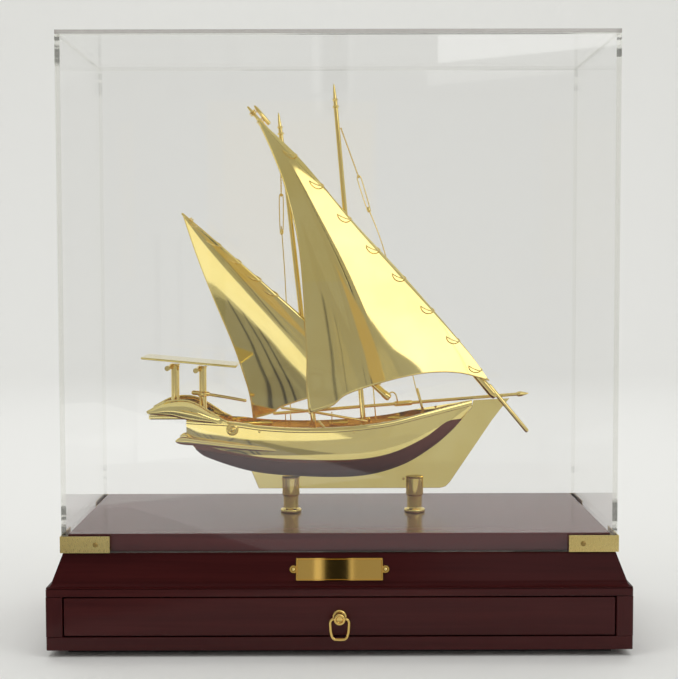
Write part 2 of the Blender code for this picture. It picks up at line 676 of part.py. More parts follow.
# Sail edges as (height, x), upwards: the luff carries on below the tack, where only the line is used.
MAIN_LUFF = [(0.1600, 0.1405), (0.1909, 0.1160), (0.2157, 0.0978), (0.2690, 0.0522), (0.3130, 0.0116),
             (0.3622, -0.0303), (0.3933, -0.0628)]
MAIN_LEECH = [(0.1667, -0.0227), (0.1890, -0.0246), (0.2160, -0.0246), (0.2895, -0.0296), (0.3375, -0.0400),
              (0.3660, -0.0504), (0.3933, -0.0628)]
MIZZEN_LUFF = [(0.1600, 0.0640), (0.1880, 0.0320), (0.2230, -0.0080), (0.2574, -0.0473), (0.2720, -0.0637),
               (0.2952, -0.0908), (0.3175, -0.1190)]
MIZZEN_LEECH = [(0.1600, -0.0672), (0.1790, -0.0700), (0.1948, -0.0745), (0.2180, -0.0822), (0.2565, -0.0978),
                (0.2874, -0.1093), (0.3175, -0.1190)]
# The sails' lower edges as (x, height), from clew to tack.
MAIN_FOOT = [(-0.0227, 0.1667), (-0.0058, 0.1729), (0.0048, 0.1815), (0.0236, 0.1886), (0.0464, 0.1949),
             (0.0695, 0.1983), (0.0933, 0.1972), (0.1160, 0.1909)]
MIZZEN_FOOT = [(-0.0672, 0.1600), (-0.0518, 0.1649), (-0.0456, 0.1694), (-0.0255, 0.1767), (0.0000, 0.1844),
               (0.0320, 0.1880)]


def make_sail(name, luff, leech, foot, luff_y, clew_y, belly, leech_rows=12, foot_rows=8, columns=9):
    """A thin sheet that bellies forward, deepest half-way between luff and leech and deeper where it is wider."""
    peak, clew = luff[-1][0], foot[0][1]

    def surface(x, z):
        left, right = along(leech, z), along(luff, z)
        across = (x - left) / max(right - left, 1e-6)
        leech_y = luff_y + (clew_y - luff_y) * (peak - z) / (peak - clew)
        depth = belly * (right - left) * math.sin(math.pi * min(max(across, 0.0), 1.0))
        return Vector((x, leech_y + (luff_y - leech_y) * across - depth, z))

    tack = foot[-1][1]
    luff_line = [(x, 0, z) for z, x in reversed(luff) if z >= tack]
    leech_line = [(x, 0, z) for z, x in reversed(leech)]
    foot_line = [(x, 0, z) for x, z in foot]
    ends = [polyline_at(leech_line, row / leech_rows) for row in range(leech_rows)]
    ends += [polyline_at(foot_line, row / foot_rows) for row in range(foot_rows + 1)]
    mesh = bpy.data.meshes.new(name)
    shape = bmesh.new()
    grid = []
    for row, end in enumerate(ends):
        start = polyline_at(luff_line, row / (len(ends) - 1))
        if row in (0, len(ends) - 1):
            grid.append([shape.verts.new(surface(start.x, start.z))] * (columns + 1))
            continue
        places = [start.lerp(end, column / columns) for column in range(columns + 1)]
        grid.append([shape.verts.new(surface(place.x, place.z)) for place in places])
    for first, second in zip(grid, grid[1:]):
        for i in range(columns):
            corners = [first[i], first[i + 1], second[i + 1], second[i]]
            corners = [c for j, c in enumerate(corners) if c not in corners[:j]]
            shape.faces.new(corners)
    bmesh.ops.recalc_face_normals(shape, faces=shape.faces)
    shape.to_mesh(mesh)
    shape.free()
    made = add(name, mesh, GOLD, SHIP)
    solid = made.modifiers.new("sheet", "SOLIDIFY")
    solid.thickness = SAIL_THICKNESS
    solid.offset = 0
    smooth(made)


def make_sails():
    make_sail("main_sail", MAIN_LUFF, MAIN_LEECH, MAIN_FOOT, -0.0096, -0.0212, 0.12)
    make_sail("mizzen_sail", MIZZEN_LUFF, MIZZEN_LEECH, MIZZEN_FOOT, -0.0093, 0.0060, 0.06)


def make_rigging():
    sleeve = [(0.0, 0.0008), (0.006, 0.0013), (0.478, 0.0013), (0.480, 0.0020), (0.546, 0.0020), (0.548, 0.0013),
              (0.970, 0.0013), (0.972, 0.0019), (1.0, 0.0004)]
    rod("bowsprit", (-0.0520, 0.0075, 0.1633), (0.1481, 0.0, 0.1796), sleeve)
    wire("main_stay", [(0.0030, 0.0027, 0.3850), (0.0162, 0.0024, 0.3467), (0.0225, 0.0022, 0.3259),
                       (0.0374, 0.0016, 0.2845), (0.0579, -0.0002, 0.1933), (0.0625, -0.0007, 0.1757),
                       (0.0668, -0.0010, 0.1606)], STAY_WIRE, GOLD, SHIP)
    wire("mizzen_stay", [(-0.0446, 0.0030, 0.3840), (-0.0445, 0.0030, 0.3470), (-0.0442, 0.0030, 0.3064),
                         (-0.0411, 0.0030, 0.2552), (-0.0375, 0.0030, 0.1502)], STAY_WIRE, GOLD, SHIP)


POOP_DECK = (0.1618, 0.1650)  # under side and top of the raised deck at the stern
WING_Y = 0.0193  # middle of each wing plate, from the centre plane


def make_stern():
    """A raised stern deck between two upswept wings, and the flat canopy that two posts carry over it."""
    wing = [(-0.1472, 0.1680), (-0.1385, 0.1748), (-0.1290, 0.1770), (-0.1195, 0.1759), (-0.1090, 0.1725),
            (-0.0995, 0.1663), (-0.0935, 0.1625), (-0.0880, 0.1602), (-0.0890, 0.1588), (-0.0965, 0.1583),
            (-0.1090, 0.1600), (-0.1195, 0.1632), (-0.1350, 0.1646), (-0.1472, 0.1658)]
    low, high = POOP_DECK
    floor = box_mesh("stern_gallery", (0.046, 2 * WING_Y, high - low))
    gallery = add("stern_gallery", floor, GOLD, SHIP, (-0.1235, 0, (low + high) / 2))
    upright = Matrix.Rotation(math.radians(90), 4, "X").to_quaternion()
    for side in (-1, 1):
        cut(gallery, plate_mesh(f"wing_{side}", wing, 0.0012), (0, side * WING_Y, 0), "UNION", upright)

    fall = math.atan2(0.0069, 0.0749)
    canopy = add("poop_canopy", box_mesh("poop_canopy", (0.0736, 0.040, 0.0018)), GOLD, SHIP, (-0.1152, 0, 0.2057))
    canopy.rotation_euler = (0, fall, 0)
    bevel(canopy, 0.0004)

    posts = (("poop_post_aft", -0.1278, 0.0032, 0.2036), ("poop_post_fore", -0.1063, 0.0029, 0.2018))
    for name, x, radius, top in posts:
        foot = high + GAP
        post = turned(name, [(0, top - foot), (radius, top - foot), (radius, 0.0030), (radius + 0.0006, 0.0022),
                             (radius + 0.0006, 0), (0, 0)], GOLD, SHIP, (x, 0, foot), 16)
        bar = cylinder_mesh("crossbar", 0.0020, 0.036, 12, "Y")
        cut(post, bar, (x - radius - 0.0008, 0, top - 0.0026), "UNION")
    rail = [(-0.1028, 0, 0.1795), (-0.0880, -0.0012, 0.1772), (-0.0730, -0.0040, 0.1748)]
    wire("poop_rail", rail, 0.0012, GOLD, SHIP)


# ---------------------------------------------------------------- build

make_foot()
make_carcass()
COVES = make_cove()
make_deck()
make_nameplate(COVES["cove_front"])
make_drawer()
make_pull()
make_cover()
make_brackets()
make_hull()
make_keel_plate()
make_posts()
make_masts()
make_yards()
make_sails()
make_rigging()
make_stern()
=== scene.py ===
"""Looks for the display case: lacquered base, acrylic cover and the gold-plated dhow inside it.

Metres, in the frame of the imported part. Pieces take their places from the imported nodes; the ship's own curves,
which no node's box can give, are repeated here from the part's source.
"""

import math

import bmesh
import bpy
from mathutils import Matrix, Vector


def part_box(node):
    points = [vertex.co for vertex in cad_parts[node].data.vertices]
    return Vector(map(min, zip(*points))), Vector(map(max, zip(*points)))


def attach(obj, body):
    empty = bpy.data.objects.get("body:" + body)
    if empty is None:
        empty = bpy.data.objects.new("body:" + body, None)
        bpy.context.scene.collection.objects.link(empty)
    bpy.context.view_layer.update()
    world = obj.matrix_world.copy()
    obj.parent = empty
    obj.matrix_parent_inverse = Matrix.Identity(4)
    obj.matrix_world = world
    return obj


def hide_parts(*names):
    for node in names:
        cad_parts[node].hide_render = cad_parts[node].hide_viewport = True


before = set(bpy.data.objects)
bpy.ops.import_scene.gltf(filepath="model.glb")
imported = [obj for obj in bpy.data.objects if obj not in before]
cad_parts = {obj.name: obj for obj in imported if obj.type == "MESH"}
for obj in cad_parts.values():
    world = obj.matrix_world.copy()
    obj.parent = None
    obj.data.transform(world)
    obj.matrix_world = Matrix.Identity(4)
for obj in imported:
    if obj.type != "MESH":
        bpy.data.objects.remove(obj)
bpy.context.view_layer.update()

SCENE = bpy.context.scene.collection

# ---------------------------------------------------------------- camera

CAMERA_PLACE = (-0.00098, -1.01765, 0.27938)
CAMERA_PITCH, CAMERA_YAW, CAMERA_ROLL = 3.226, 0.065, 0.136  # degrees down, right and clockwise
CAMERA_LENS, CAMERA_SENSOR = 69.27, 36.0


def make_camera():
    camera = bpy.data.objects.new("camera", bpy.data.cameras.new("camera"))
    SCENE.objects.link(camera)
    camera.data.lens = CAMERA_LENS
    camera.data.sensor_width = CAMERA_SENSOR
    camera.data.clip_start = 0.05
    turn = Matrix.Rotation(-math.radians(CAMERA_YAW), 4, "Z")
    tip = Matrix.Rotation(math.radians(90 - CAMERA_PITCH), 4, "X")
    roll = Matrix.Rotation(-math.radians(CAMERA_ROLL), 4, "Z")
    camera.matrix_world = Matrix.Translation(CAMERA_PLACE) @ turn @ tip @ roll
    bpy.context.scene.camera = camera


# ---------------------------------------------------------------- mesh helpers


def placed(name, data):
    made = bpy.data.objects.new(name, data)
    SCENE.objects.link(made)
    return made


def as_mesh(shape, name="shape"):
    mesh = bpy.data.meshes.new(name)
    shape.to_mesh(mesh)
    shape.free()
    return mesh


def finished(shape, angle=35):
    """Turns a bmesh into a mesh with outward faces, smooth except across edges sharper than an angle."""
    bmesh.ops.recalc_face_normals(shape, faces=shape.faces)
    mesh = as_mesh(shape)
    mesh.shade_smooth()
    mesh.set_sharp_from_angle(angle=math.radians(angle))
    return mesh


def piece(name, mesh, body, look, stands_for=()):
    """Shows a mesh as a piece that rides on a body, in place of the CAD nodes it stands for."""
    made = placed(name, mesh)
    mesh.name = name
    for material in look if isinstance(look, tuple) else (look,):
        mesh.materials.append(material)
    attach(made, body)
    if stands_for:
        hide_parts(*([stands_for] if isinstance(stands_for, str) else stands_for))
    return made


def base_piece(name, shape, angle, look, stands_for=()):
    """A piece of the base body, made from a bmesh."""
    return piece(name, finished(shape, angle), "base", look, stands_for)


def keep_faces_flat(obj):
    """Keeps the shading of broad faces flat beside their small rounded edges."""
    modifier = obj.modifiers.new("flat faces", "WEIGHTED_NORMAL")
    modifier.keep_sharp = True
    modifier.weight = 100


def standing(place, direction=(0, 0, 1)):
    """The matrix that stands a shape made about +Z at a place, along a direction."""
    turn = Vector(direction).to_track_quat("Z", "Y").to_matrix().to_4x4()
    return Matrix.Translation(Vector(place)) @ turn


def ease(shape, edges, offset, segments):
    """Rounds edges of a bmesh."""
    bmesh.ops.bevel(shape, geom=edges, offset=offset, segments=segments, profile=0.5, affect="EDGES")


def board_mesh(low, high, edge, segments=3, upright=None):
    """A box between two corners with rounded edges. Its upright edges can be rounder than the rest."""
    shape = bmesh.new()
    bmesh.ops.create_cube(shape, size=1.0)
    bmesh.ops.scale(shape, vec=high - low, verts=shape.verts)
    bmesh.ops.translate(shape, vec=(low + high) / 2, verts=shape.verts)
    if upright is not None:
        chosen = [e for e in shape.edges if abs(e.verts[0].co.z - e.verts[1].co.z) > 1e-6]
        ease(shape, chosen, upright, 4)
        level = [e for e in shape.edges if abs(e.verts[0].co.z - e.verts[1].co.z) < 1e-6
                 and len({round(f.normal.z, 3) for f in e.link_faces}) > 1]
        ease(shape, level, edge, 2)
    else:
        ease(shape, shape.edges[:], edge, segments)
    return finished(shape, 50)


def full_turn(count):
    return [2 * math.pi * k / count for k in range(count)]


def quarter_turn(steps):
    return [math.radians(90 * step / steps) for step in range(steps + 1)]


def circle(centre, side, up, radius, count):
    return [centre + radius * (side * math.cos(t) + up * math.sin(t)) for t in full_turn(count)]


def bridge(shape, first, second):
    """Faces between two closed rings of vertices, where a ring of one vertex is a pole."""
    count = max(len(first), len(second))
    for i in range(count):
        j = (i + 1) % count
        corners = [first[i % len(first)], first[j % len(first)], second[j % len(second)], second[i % len(second)]]
        corners = [c for k, c in enumerate(corners) if c not in corners[:k]]
        if len(corners) > 2:
            shape.faces.new(corners)


def lathe(shape, profile, sides, where=None):
    """A turned solid about Z, added to a bmesh. A profile that keeps off the axis makes a ring."""
    start = len(shape.verts)
    rings = []
    for radius, height in profile:
        if radius < 1e-7:
            rings.append([shape.verts.new((0, 0, height))])
            continue
        rings.append([shape.verts.new((radius * math.cos(t), radius * math.sin(t), height)) for t in full_turn(sides)])
    if profile[0][0] >= 1e-7:
        rings.append(rings[0])
    for first, second in zip(rings, rings[1:]):
        bridge(shape, first, second)
    if where is not None:
        shape.verts.ensure_lookup_table()
        bmesh.ops.transform(shape, matrix=where, verts=shape.verts[start:])


def lathe_mesh(profile, sides, where, angle=35):
    shape = bmesh.new()
    lathe(shape, profile, sides, where)
    return finished(shape, angle)


def smooth_line(points, steps=6, closed=False):
    """Points along a Catmull-Rom curve through the given ones."""
    points = [Vector(p) for p in points]
    count = len(points)
    line = []
    for i in range(count if closed else count - 1):
        a, b, c, d = (points[(i + k) % count if closed else min(max(i + k, 0), count - 1)] for k in (-1, 0, 1, 2))
        for step in range(steps):
            t = step / steps
            line.append(0.5 * (2 * b + (c - a) * t + (2 * a - 5 * b + 4 * c - d) * t**2
                               + (3 * b - a - 3 * c + d) * t**3))
    if not closed:
        line.append(points[-1].copy())
    return line


def tube(shape, points, radius, sides=12, closed=False, end="round"):
    """A round bar along points, added to a bmesh. The radius is a number or a function of the share of the way."""
    points = [Vector(p) for p in points]
    count = len(points)
    reach = radius if callable(radius) else lambda share: radius
    stations = []
    for i, point in enumerate(points):
        before = points[i - 1] if closed or i else point
        after = points[(i + 1) % count] if closed or i < count - 1 else point
        stations.append((point, (after - before).normalized(), reach(i / (count - 1))))
    if not closed:
        slices = (math.radians(0.5), math.radians(30), math.radians(60)) if end == "round" else (math.radians(0.5),)
        depth = 1.0 if end == "round" else 0.0
        for index, sign in ((0, -1), (-1, 1)):
            point, tangent, size = stations[index]
            out = sign * tangent * size * depth
            cap = [(point + out * math.sin(a), tangent, size * math.cos(a)) for a in slices[1:]]
            cap.append((point + out, tangent, 0.0))
            stations = cap[::-1] + stations if index == 0 else stations + cap
    side = stations[0][1].orthogonal().normalized()
    rings = []
    for point, tangent, size in stations:
        side = (side - tangent * side.dot(tangent)).normalized()
        up = tangent.cross(side)
        if size == 0.0:
            rings.append([shape.verts.new(point)])
            continue
        rings.append([shape.verts.new(spot) for spot in circle(point, side, up, size, sides)])
    if closed:
        rings.append(rings[0])
    for first, second in zip(rings, rings[1:]):
        bridge(shape, first, second)


def tube_mesh(points, radius, sides):
    shape = bmesh.new()
    tube(shape, points, radius, sides)
    return finished(shape, 50)


def ring_points(centre, normal, radius, count):
    """Points round a circle about a centre."""
    normal = Vector(normal).normalized()
    side = normal.orthogonal().normalized()
    up = normal.cross(side)
    return circle(Vector(centre), side, up, radius, count)


def rounded(outline, radius, steps=4):
    """A flat outline with each corner made an arc."""
    outline = [Vector(p) for p in outline]
    result = []
    for i, corner in enumerate(outline):
        back, ahead = outline[i - 1] - corner, outline[(i + 1) % len(outline)] - corner
        angle = back.angle(ahead)
        if angle > math.radians(172):
            result.append(corner)
            continue
        cut = min(radius / math.tan(angle / 2), 0.45 * back.length, 0.45 * ahead.length)
        start, end = corner + back.normalized() * cut, corner + ahead.normalized() * cut
        for step in range(steps + 1):
            t = step / steps
            result.append((1 - t) ** 2 * start + 2 * t * (1 - t) * corner + t**2 * end)
    return result


def rectangle(half_x, half_y):
    return [Vector((x * half_x, y * half_y)) for x, y in ((-1, -1), (1, -1), (1, 1), (-1, 1))]


def plate(shape, outline, thickness, edge, where, segments=2):
    """A flat plate with eased rims from a closed outline, added to a bmesh."""
    own = bmesh.new()
    lower = [own.verts.new((p[0], p[1], -thickness / 2)) for p in outline]
    upper = [own.verts.new((p[0], p[1], thickness / 2)) for p in outline]
    caps = [own.faces.new(lower), own.faces.new(upper)]
    bridge(own, lower, upper)
    bmesh.ops.recalc_face_normals(own, faces=own.faces)
    ease(own, [rim for cap in caps for rim in cap.edges], edge, segments)
    bmesh.ops.transform(own, matrix=where, verts=own.verts)
    held = as_mesh(own)
    shape.from_mesh(held)
    bpy.data.meshes.remove(held)


def plate_mesh(outline, thickness, edge, where, segments=2):
    shape = bmesh.new()
    plate(shape, outline, thickness, edge, where, segments)
    return finished(shape, 40)


def skin(shape, rings):
    """Faces between closed rings of equal point counts, added to a bmesh, and the rings' vertices."""
    grid = [[shape.verts.new(point) for point in ring] for ring in rings]
    for first, second in zip(grid, grid[1:]):
        bridge(shape, first, second)
    return grid


def loft(shape, rings):
    """A solid through closed rings of equal point counts, added to a bmesh."""
    grid = skin(shape, rings)
    shape.faces.new(grid[0])
    shape.faces.new(grid[-1])


def loft_mesh(rings, angle=35):
    shape = bmesh.new()
    loft(shape, rings)
    return finished(shape, angle)


def carved(mesh, cutter):
    """A mesh with another cut from it."""
    target, tool = placed("target", mesh), placed("tool", cutter)
    modifier = target.modifiers.new("carve", "BOOLEAN")
    modifier.operation, modifier.object, modifier.solver = "DIFFERENCE", tool, "EXACT"
    result = bpy.data.meshes.new_from_object(target.evaluated_get(bpy.context.evaluated_depsgraph_get()))
    for obj in (target, tool):
        bpy.data.objects.remove(obj)
    result.shade_smooth()
    result.set_sharp_from_angle(angle=math.radians(35))
    return result


def along(points, x):
    """The value of a smooth line through (x, value) points, by cubic Hermite steps."""
    if x <= points[0][0]:
        return points[0][1]
    if x >= points[-1][0]:
        return points[-1][1]
    slopes = []
    for i in range(len(points)):
        before, after = points[max(i - 1, 0)], points[min(i + 1, len(points) - 1)]
        slopes.append((after[1] - before[1]) / (after[0] - before[0]))
    for i in range(len(points) - 1):
        (x0, y0), (x1, y1) = points[i], points[i + 1]
        if x <= x1:
            break
    step = x1 - x0
    t = (x - x0) / step
    return (
        y0 * (2 * t**3 - 3 * t**2 + 1)
        + slopes[i] * step * (t**3 - 2 * t**2 + t)
        + y1 * (3 * t**2 - 2 * t**3)
        + slopes[i + 1] * step * (t**3 - t**2)
    )


def polyline_at(points, share):
    """The point at a share of a polyline's length, from 0 to 1."""
    lengths = [(b - a).length for a, b in zip(points, points[1:])]
    target = share * sum(lengths)
    for a, b, length in zip(points, points[1:], lengths):
        if target <= length:
            return a.lerp(b, target / length)
        target -= length
    return points[-1].copy()


def stations(first, last, count):
    return [first + (last - first) * i / (count - 1) for i in range(count)]


# ---------------------------------------------------------------- materials


class Recipe:
    """A material under construction: its Principled shader, and short calls that add nodes to it."""

    def __init__(self, name, colour, roughness, **sockets):
        self.material = bpy.data.materials.new(name)
        self.material.use_nodes = True
        self.nodes = self.material.node_tree.nodes
        self.links = self.material.node_tree.links
        self.shader = self.nodes["Principled BSDF"]
        self.set(self.shader, {"Base Color": (*colour, 1.0), "Roughness": roughness, **sockets})
        self.place = self.add("ShaderNodeTexCoord").outputs["Object"]

    def set(self, node, sockets):
        for key, value in sockets.items():
            socket = node.inputs[key]
            if isinstance(value, bpy.types.NodeSocket):
                self.links.new(value, socket)
            else:
                socket.default_value = value

    def add(self, kind, sockets=None, **settings):
        node = self.nodes.new(kind)
        for key, value in settings.items():
            setattr(node, key, value)
        self.set(node, sockets or {})
        return node

    def stretched(self, scale):
        """The piece's own coordinates, scaled along each axis."""
        return self.add("ShaderNodeMapping", {"Vector": self.place, "Scale": scale}).outputs["Vector"]

    def noise(self, scale, detail=2.0, roughness=0.5, distortion=0.0, vector=None):
        sockets = {"Vector": vector or self.place, "Scale": scale, "Detail": detail,
                   "Roughness": roughness, "Distortion": distortion}
        return self.add("ShaderNodeTexNoise", sockets).outputs["Fac"]

    def ramp(self, factor, low, high, start=0.0, end=1.0):
        """Maps a factor onto a range of values."""
        sockets = {"Value": factor, "From Min": start, "From Max": end, "To Min": low, "To Max": high}
        return self.add("ShaderNodeMapRange", sockets).outputs["Result"]

    def mix(self, factor, first, second):
        """A blend of two colours. The colour sockets of the node are its seventh and eighth."""
        first, second = ((*tone, 1.0) if isinstance(tone, tuple) else tone for tone in (first, second))
        return self.add("ShaderNodeMix", {0: factor, 6: first, 7: second}, data_type="RGBA").outputs[2]

    def math(self, operation, first, second):
        return self.add("ShaderNodeMath", {0: first, 1: second}, operation=operation).outputs[0]

    def bump(self, height, distance, before=None):
        sockets = {"Height": height, "Distance": distance, "Strength": 1.0}
        if before is not None:
            sockets["Normal"] = before
        return self.add("ShaderNodeBump", sockets).outputs["Normal"]

    def see_through(self, share, tint):
        """Leaves a share of the shader over clear, tinted transparency."""
        clear = self.add("ShaderNodeBsdfTransparent", {"Color": (*tint, 1.0)})
        mixed = self.add("ShaderNodeMixShader", {0: share, 1: clear.outputs[0], 2: self.shader.outputs[0]})
        self.links.new(mixed.outputs[0], self.nodes["Material Output"].inputs["Surface"])


def along_grain(grain, slow, fine):
    """How finely a wood's figure changes along each axis."""
    return tuple(slow if axis == grain else fine for axis in "XYZ")


def polished_metal(name, colour, deep, roughness, waviness, polish=0.000002):
    """Hand-worked, plated sheet or rod: a slow waviness and faint polishing lines."""
    look = Recipe(name, colour, roughness, Metallic=1.0)
    drift = look.noise(22.0, 3.0)
    look.set(look.shader, {"Base Color": look.mix(look.ramp(drift, 0.0, 1.0, 0.35, 0.7), colour, deep)})
    fine = look.noise(1.0, 3.0, vector=look.stretched((2600.0, 2600.0, 260.0)))
    look.set(look.shader, {"Roughness": look.ramp(fine, roughness * 0.8, roughness * 1.4, 0.3, 0.7)})
    slow = look.bump(look.noise(18.0, 1.0), waviness)
    look.set(look.shader, {"Normal": look.bump(fine, polish, slow)})
    return look.material


def lacquered_wood(name, grain, gloss, shade):
    """Near-black red lacquer over a fine grain that runs along one axis. Its colours are scaled by the shade factor,
    which paints light and shade: lit and shaded copies of the one lacquer.
    """
    look = Recipe(name, (0.04, 0.006, 0.007), 0.5, **{
        "Specular IOR Level": 0.1 * gloss, "Coat Weight": gloss, "Coat Roughness": 0.16, "Coat IOR": 1.28})
    fibres = look.noise(1.0, 6.0, 0.62, 0.6, look.stretched(along_grain(grain, 5.0, 130.0)))
    cloud = look.noise(9.0, 2.0)
    # Every tone is scaled by the shade factor: painted light where it is raised, painted shade where it is lowered.
    dark, bright, mean = (tuple(shade * part for part in colour) for colour in
                          ((0.028, 0.0030, 0.0032), (0.044, 0.0060, 0.0058), (0.034, 0.0040, 0.0040)))
    tone = look.mix(look.ramp(fibres, 0.0, 1.0, 0.38, 0.66), dark, bright)
    tone = look.mix(look.ramp(cloud, 0.0, 0.35, 0.3, 0.7), tone, mean)
    look.set(look.shader, {"Base Color": tone})
    return look.material


def birch(name, grain):
    look = Recipe(name, (0.5, 0.33, 0.19), 0.5, **{"Specular IOR Level": 0.4})
    fibres = look.noise(1.0, 8.0, 0.6, 1.2, look.stretched(along_grain(grain, 4.0, 90.0)))
    tone = look.mix(look.ramp(fibres, 0.0, 1.0, 0.35, 0.7), (0.60, 0.42, 0.25), (0.38, 0.23, 0.12))
    look.set(look.shader, {"Base Color": tone, "Roughness": look.ramp(fibres, 0.42, 0.6)})
    look.set(look.shader, {"Normal": look.bump(fibres, 0.00004)})
    return look.material


def black_felt():
    look = Recipe("black_felt", (0.012, 0.012, 0.013), 0.95, **{"Sheen Weight": 0.5, "Sheen Roughness": 0.6})
    fuzz = look.noise(1400.0, 6.0, 0.7)
    look.set(look.shader, {"Base Color": look.mix(fuzz, (0.006, 0.006, 0.007), (0.028, 0.028, 0.030))})
    look.set(look.shader, {"Normal": look.bump(fuzz, 0.0002)})
    return look.material


def enamel():
    look = Recipe("brown_enamel", (0.07, 0.02, 0.017), 0.4, **{
        "Specular IOR Level": 0.05, "Coat Weight": 0.06, "Coat Roughness": 0.1})
    # Lighter and redder towards the bow: painted light.
    forward = look.ramp(look.add("ShaderNodeSeparateXYZ", {"Vector": look.place}).outputs["X"], 0.0, 1.0, 0.0, 0.09)
    cloud = look.noise(40.0, 3.0)
    tone = look.mix(cloud, (0.070, 0.018, 0.015), (0.100, 0.030, 0.024))
    look.set(look.shader, {"Base Color": look.mix(forward, tone, (0.170, 0.055, 0.042))})
    return look.material


def clear_acrylic():
    """Clear sheet: straight through, with the gloss of each face from its angle to the eye."""
    look = Recipe("clear_acrylic", (1.0, 1.0, 1.0), 0.02, Metallic=1.0)
    facing = look.add("ShaderNodeLayerWeight", {"Blend": 0.5}).outputs["Facing"]
    gloss = look.math("MULTIPLY_ADD", look.math("POWER", facing, 5.0), 0.8)
    gloss.node.inputs[2].default_value = 0.035
    haze = look.ramp(look.noise(6.0, 2.0), 0.010, 0.03)
    look.set(look.shader, {"Roughness": haze})
    look.see_through(gloss, (0.992, 0.992, 0.990))
    return look.material


def painted_acrylic_edge(name, shown, pale, broken):
    """The polished edge of a sheet as painted reflection: a pale painted line of light, seen most at the front, with
    broken dark dashes of painted reflection near its ends.
    """
    # The pale colour is painted light along the edge.
    look = Recipe(name, pale, 0.15)
    place = look.add("ShaderNodeSeparateXYZ", {"Vector": look.place}).outputs
    near = look.ramp(place["Y"], 1.0, 0.25, -0.085, -0.06)
    upper, lower = look.ramp(place["Z"], 0.0, 1.0, 0.420, 0.424), look.ramp(place["Z"], 1.0, 0.0, 0.108, 0.112)
    ends = look.math("MAXIMUM", upper, lower)
    # Dark dashes near the top and bottom ends of the edges: painted reflection.
    dashes = look.ramp(look.noise(1.0, 1.0, vector=look.stretched((8.0, 8.0, 170.0))), 0.0, 1.0, 0.46, 0.52)
    dark = look.math("MULTIPLY", look.math("MULTIPLY", ends, dashes), broken)
    look.set(look.shader, {"Base Color": look.mix(dark, pale, (0.10, 0.10, 0.07))})
    share = look.math("MULTIPLY", near, look.ramp(dark, shown, 0.75))
    look.see_through(share, (0.985, 0.985, 0.970))
    return look.material


FELT = black_felt()
WOOD = {axis: lacquered_wood(f"mahogany_lacquer_{axis.lower()}", axis, 0.8, 1.5) for axis in "XZ"}
# The coves' copy of the lacquer is darker than the carcass's: painted shade.
COVE_WOOD = {axis: lacquered_wood(f"mahogany_cove_painted_shade_{axis.lower()}", axis, 0.3, 1.15) for axis in "XY"}
# The deck's copy of the lacquer is much lighter than the carcass's: painted light.
DECK_WOOD = lacquered_wood("mahogany_deck_painted_light", "X", 1.0, 2.6)
BIRCH = {axis: birch(f"drawer_birch_{axis.lower()}", axis) for axis in "XY"}
ENAMEL = enamel()
CLEAR = clear_acrylic()
# Both edge looks are painted reflection: a pale line with dark dashes on the walls, a darker line without dashes on
# the top.
EDGE = painted_acrylic_edge("painted_acrylic_edge", 0.20, (0.66, 0.65, 0.54), 1.0)
TOP_EDGE = painted_acrylic_edge("painted_acrylic_top_edge", 0.6, (0.36, 0.33, 0.31), 0.0)
GOLD = polished_metal("gold_plate", (0.93, 0.78, 0.31), (0.89, 0.72, 0.25), 0.05, 0.00012, 0.0000004)
ROD_GOLD = polished_metal("gold_plate_rod", (0.93, 0.74, 0.29), (0.88, 0.67, 0.22), 0.08, 0.00002, 0.0000004)
# Deep orange on the ship's deck and battens: painted reflection, the copper glow that the deck shows laid into its
# colour.
DECK_GOLD = polished_metal("ship_deck_gold_painted_reflection", (0.88, 0.52, 0.17), (0.76, 0.40, 0.11), 0.24, 0.00005)
BRASS = polished_metal("polished_brass", (0.84, 0.60, 0.20), (0.78, 0.53, 0.16), 0.10, 0.000012, 0.0000002)
PLATE_BRASS = polished_metal("mirror_brass", (0.80, 0.51, 0.13), (0.78, 0.49, 0.12), 0.03, 0.0, 0.0)
SATIN_BRASS = polished_metal("satin_brass", (0.78, 0.62, 0.25), (0.70, 0.53, 0.19), 0.28, 0.00001, 0.0000003)
# Darkened brass for the screws: painted dark reflection in their small domes.
DARKENED_BRASS = polished_metal("brass_painted_dark_reflection", (0.46, 0.32, 0.11), (0.34, 0.23, 0.08), 0.30, 0.00001, 0.0000003)

# ---------------------------------------------------------------- base

BOARDS = {  # node: (look, slot, rounding of the edges, rounding of the upright edges where that differs)
    "felt_base": (FELT, "felt", 0.0004, None),
    "plinth_board": (WOOD["X"], "mahogany", 0.0005, None),
    "carcass_bottom": (WOOD["X"], "mahogany", 0.0002, 0.0016),
    "carcass_top": (WOOD["X"], "mahogany", 0.0003, 0.0016),
    "carcass_side_left": (WOOD["Z"], "mahogany", 0.0001, 0.0010),
    "carcass_side_right": (WOOD["Z"], "mahogany", 0.0001, 0.0010),
    "carcass_back": (WOOD["X"], "mahogany", 0.0005, None),
    "display_deck": (DECK_WOOD, "mahogany", 0.0008, None),
    "drawer_front": (WOOD["X"], "mahogany", 0.0007, None),
    "drawer_side_left": (BIRCH["Y"], "drawer_wood", 0.0006, None),
    "drawer_side_right": (BIRCH["Y"], "drawer_wood", 0.0006, None),
    "drawer_back": (BIRCH["X"], "drawer_wood", 0.0006, None),
    "drawer_bottom": (BIRCH["X"], "drawer_wood", 0.0004, None),
}
LINING = 0.0008
COVE_DEPTH = 0.022


def make_boards():
    for node, (look, slot, edge, upright) in BOARDS.items():
        body = "drawer" if node.startswith("drawer") else "base"
        mesh = board_mesh(*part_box(node), edge, upright=upright)
        made = piece(f"{node}_finished", mesh, body, look, node)
        keep_faces_flat(made)


def make_drawer_lining():
    low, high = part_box("drawer_bottom")
    low, high = Vector((low.x + 0.001, low.y + 0.001, high.z)), Vector((high.x - 0.001, high.y - 0.001, high.z))
    high.z += LINING
    piece("drawer_lining", board_mesh(low, high, 0.0003), "drawer", FELT)


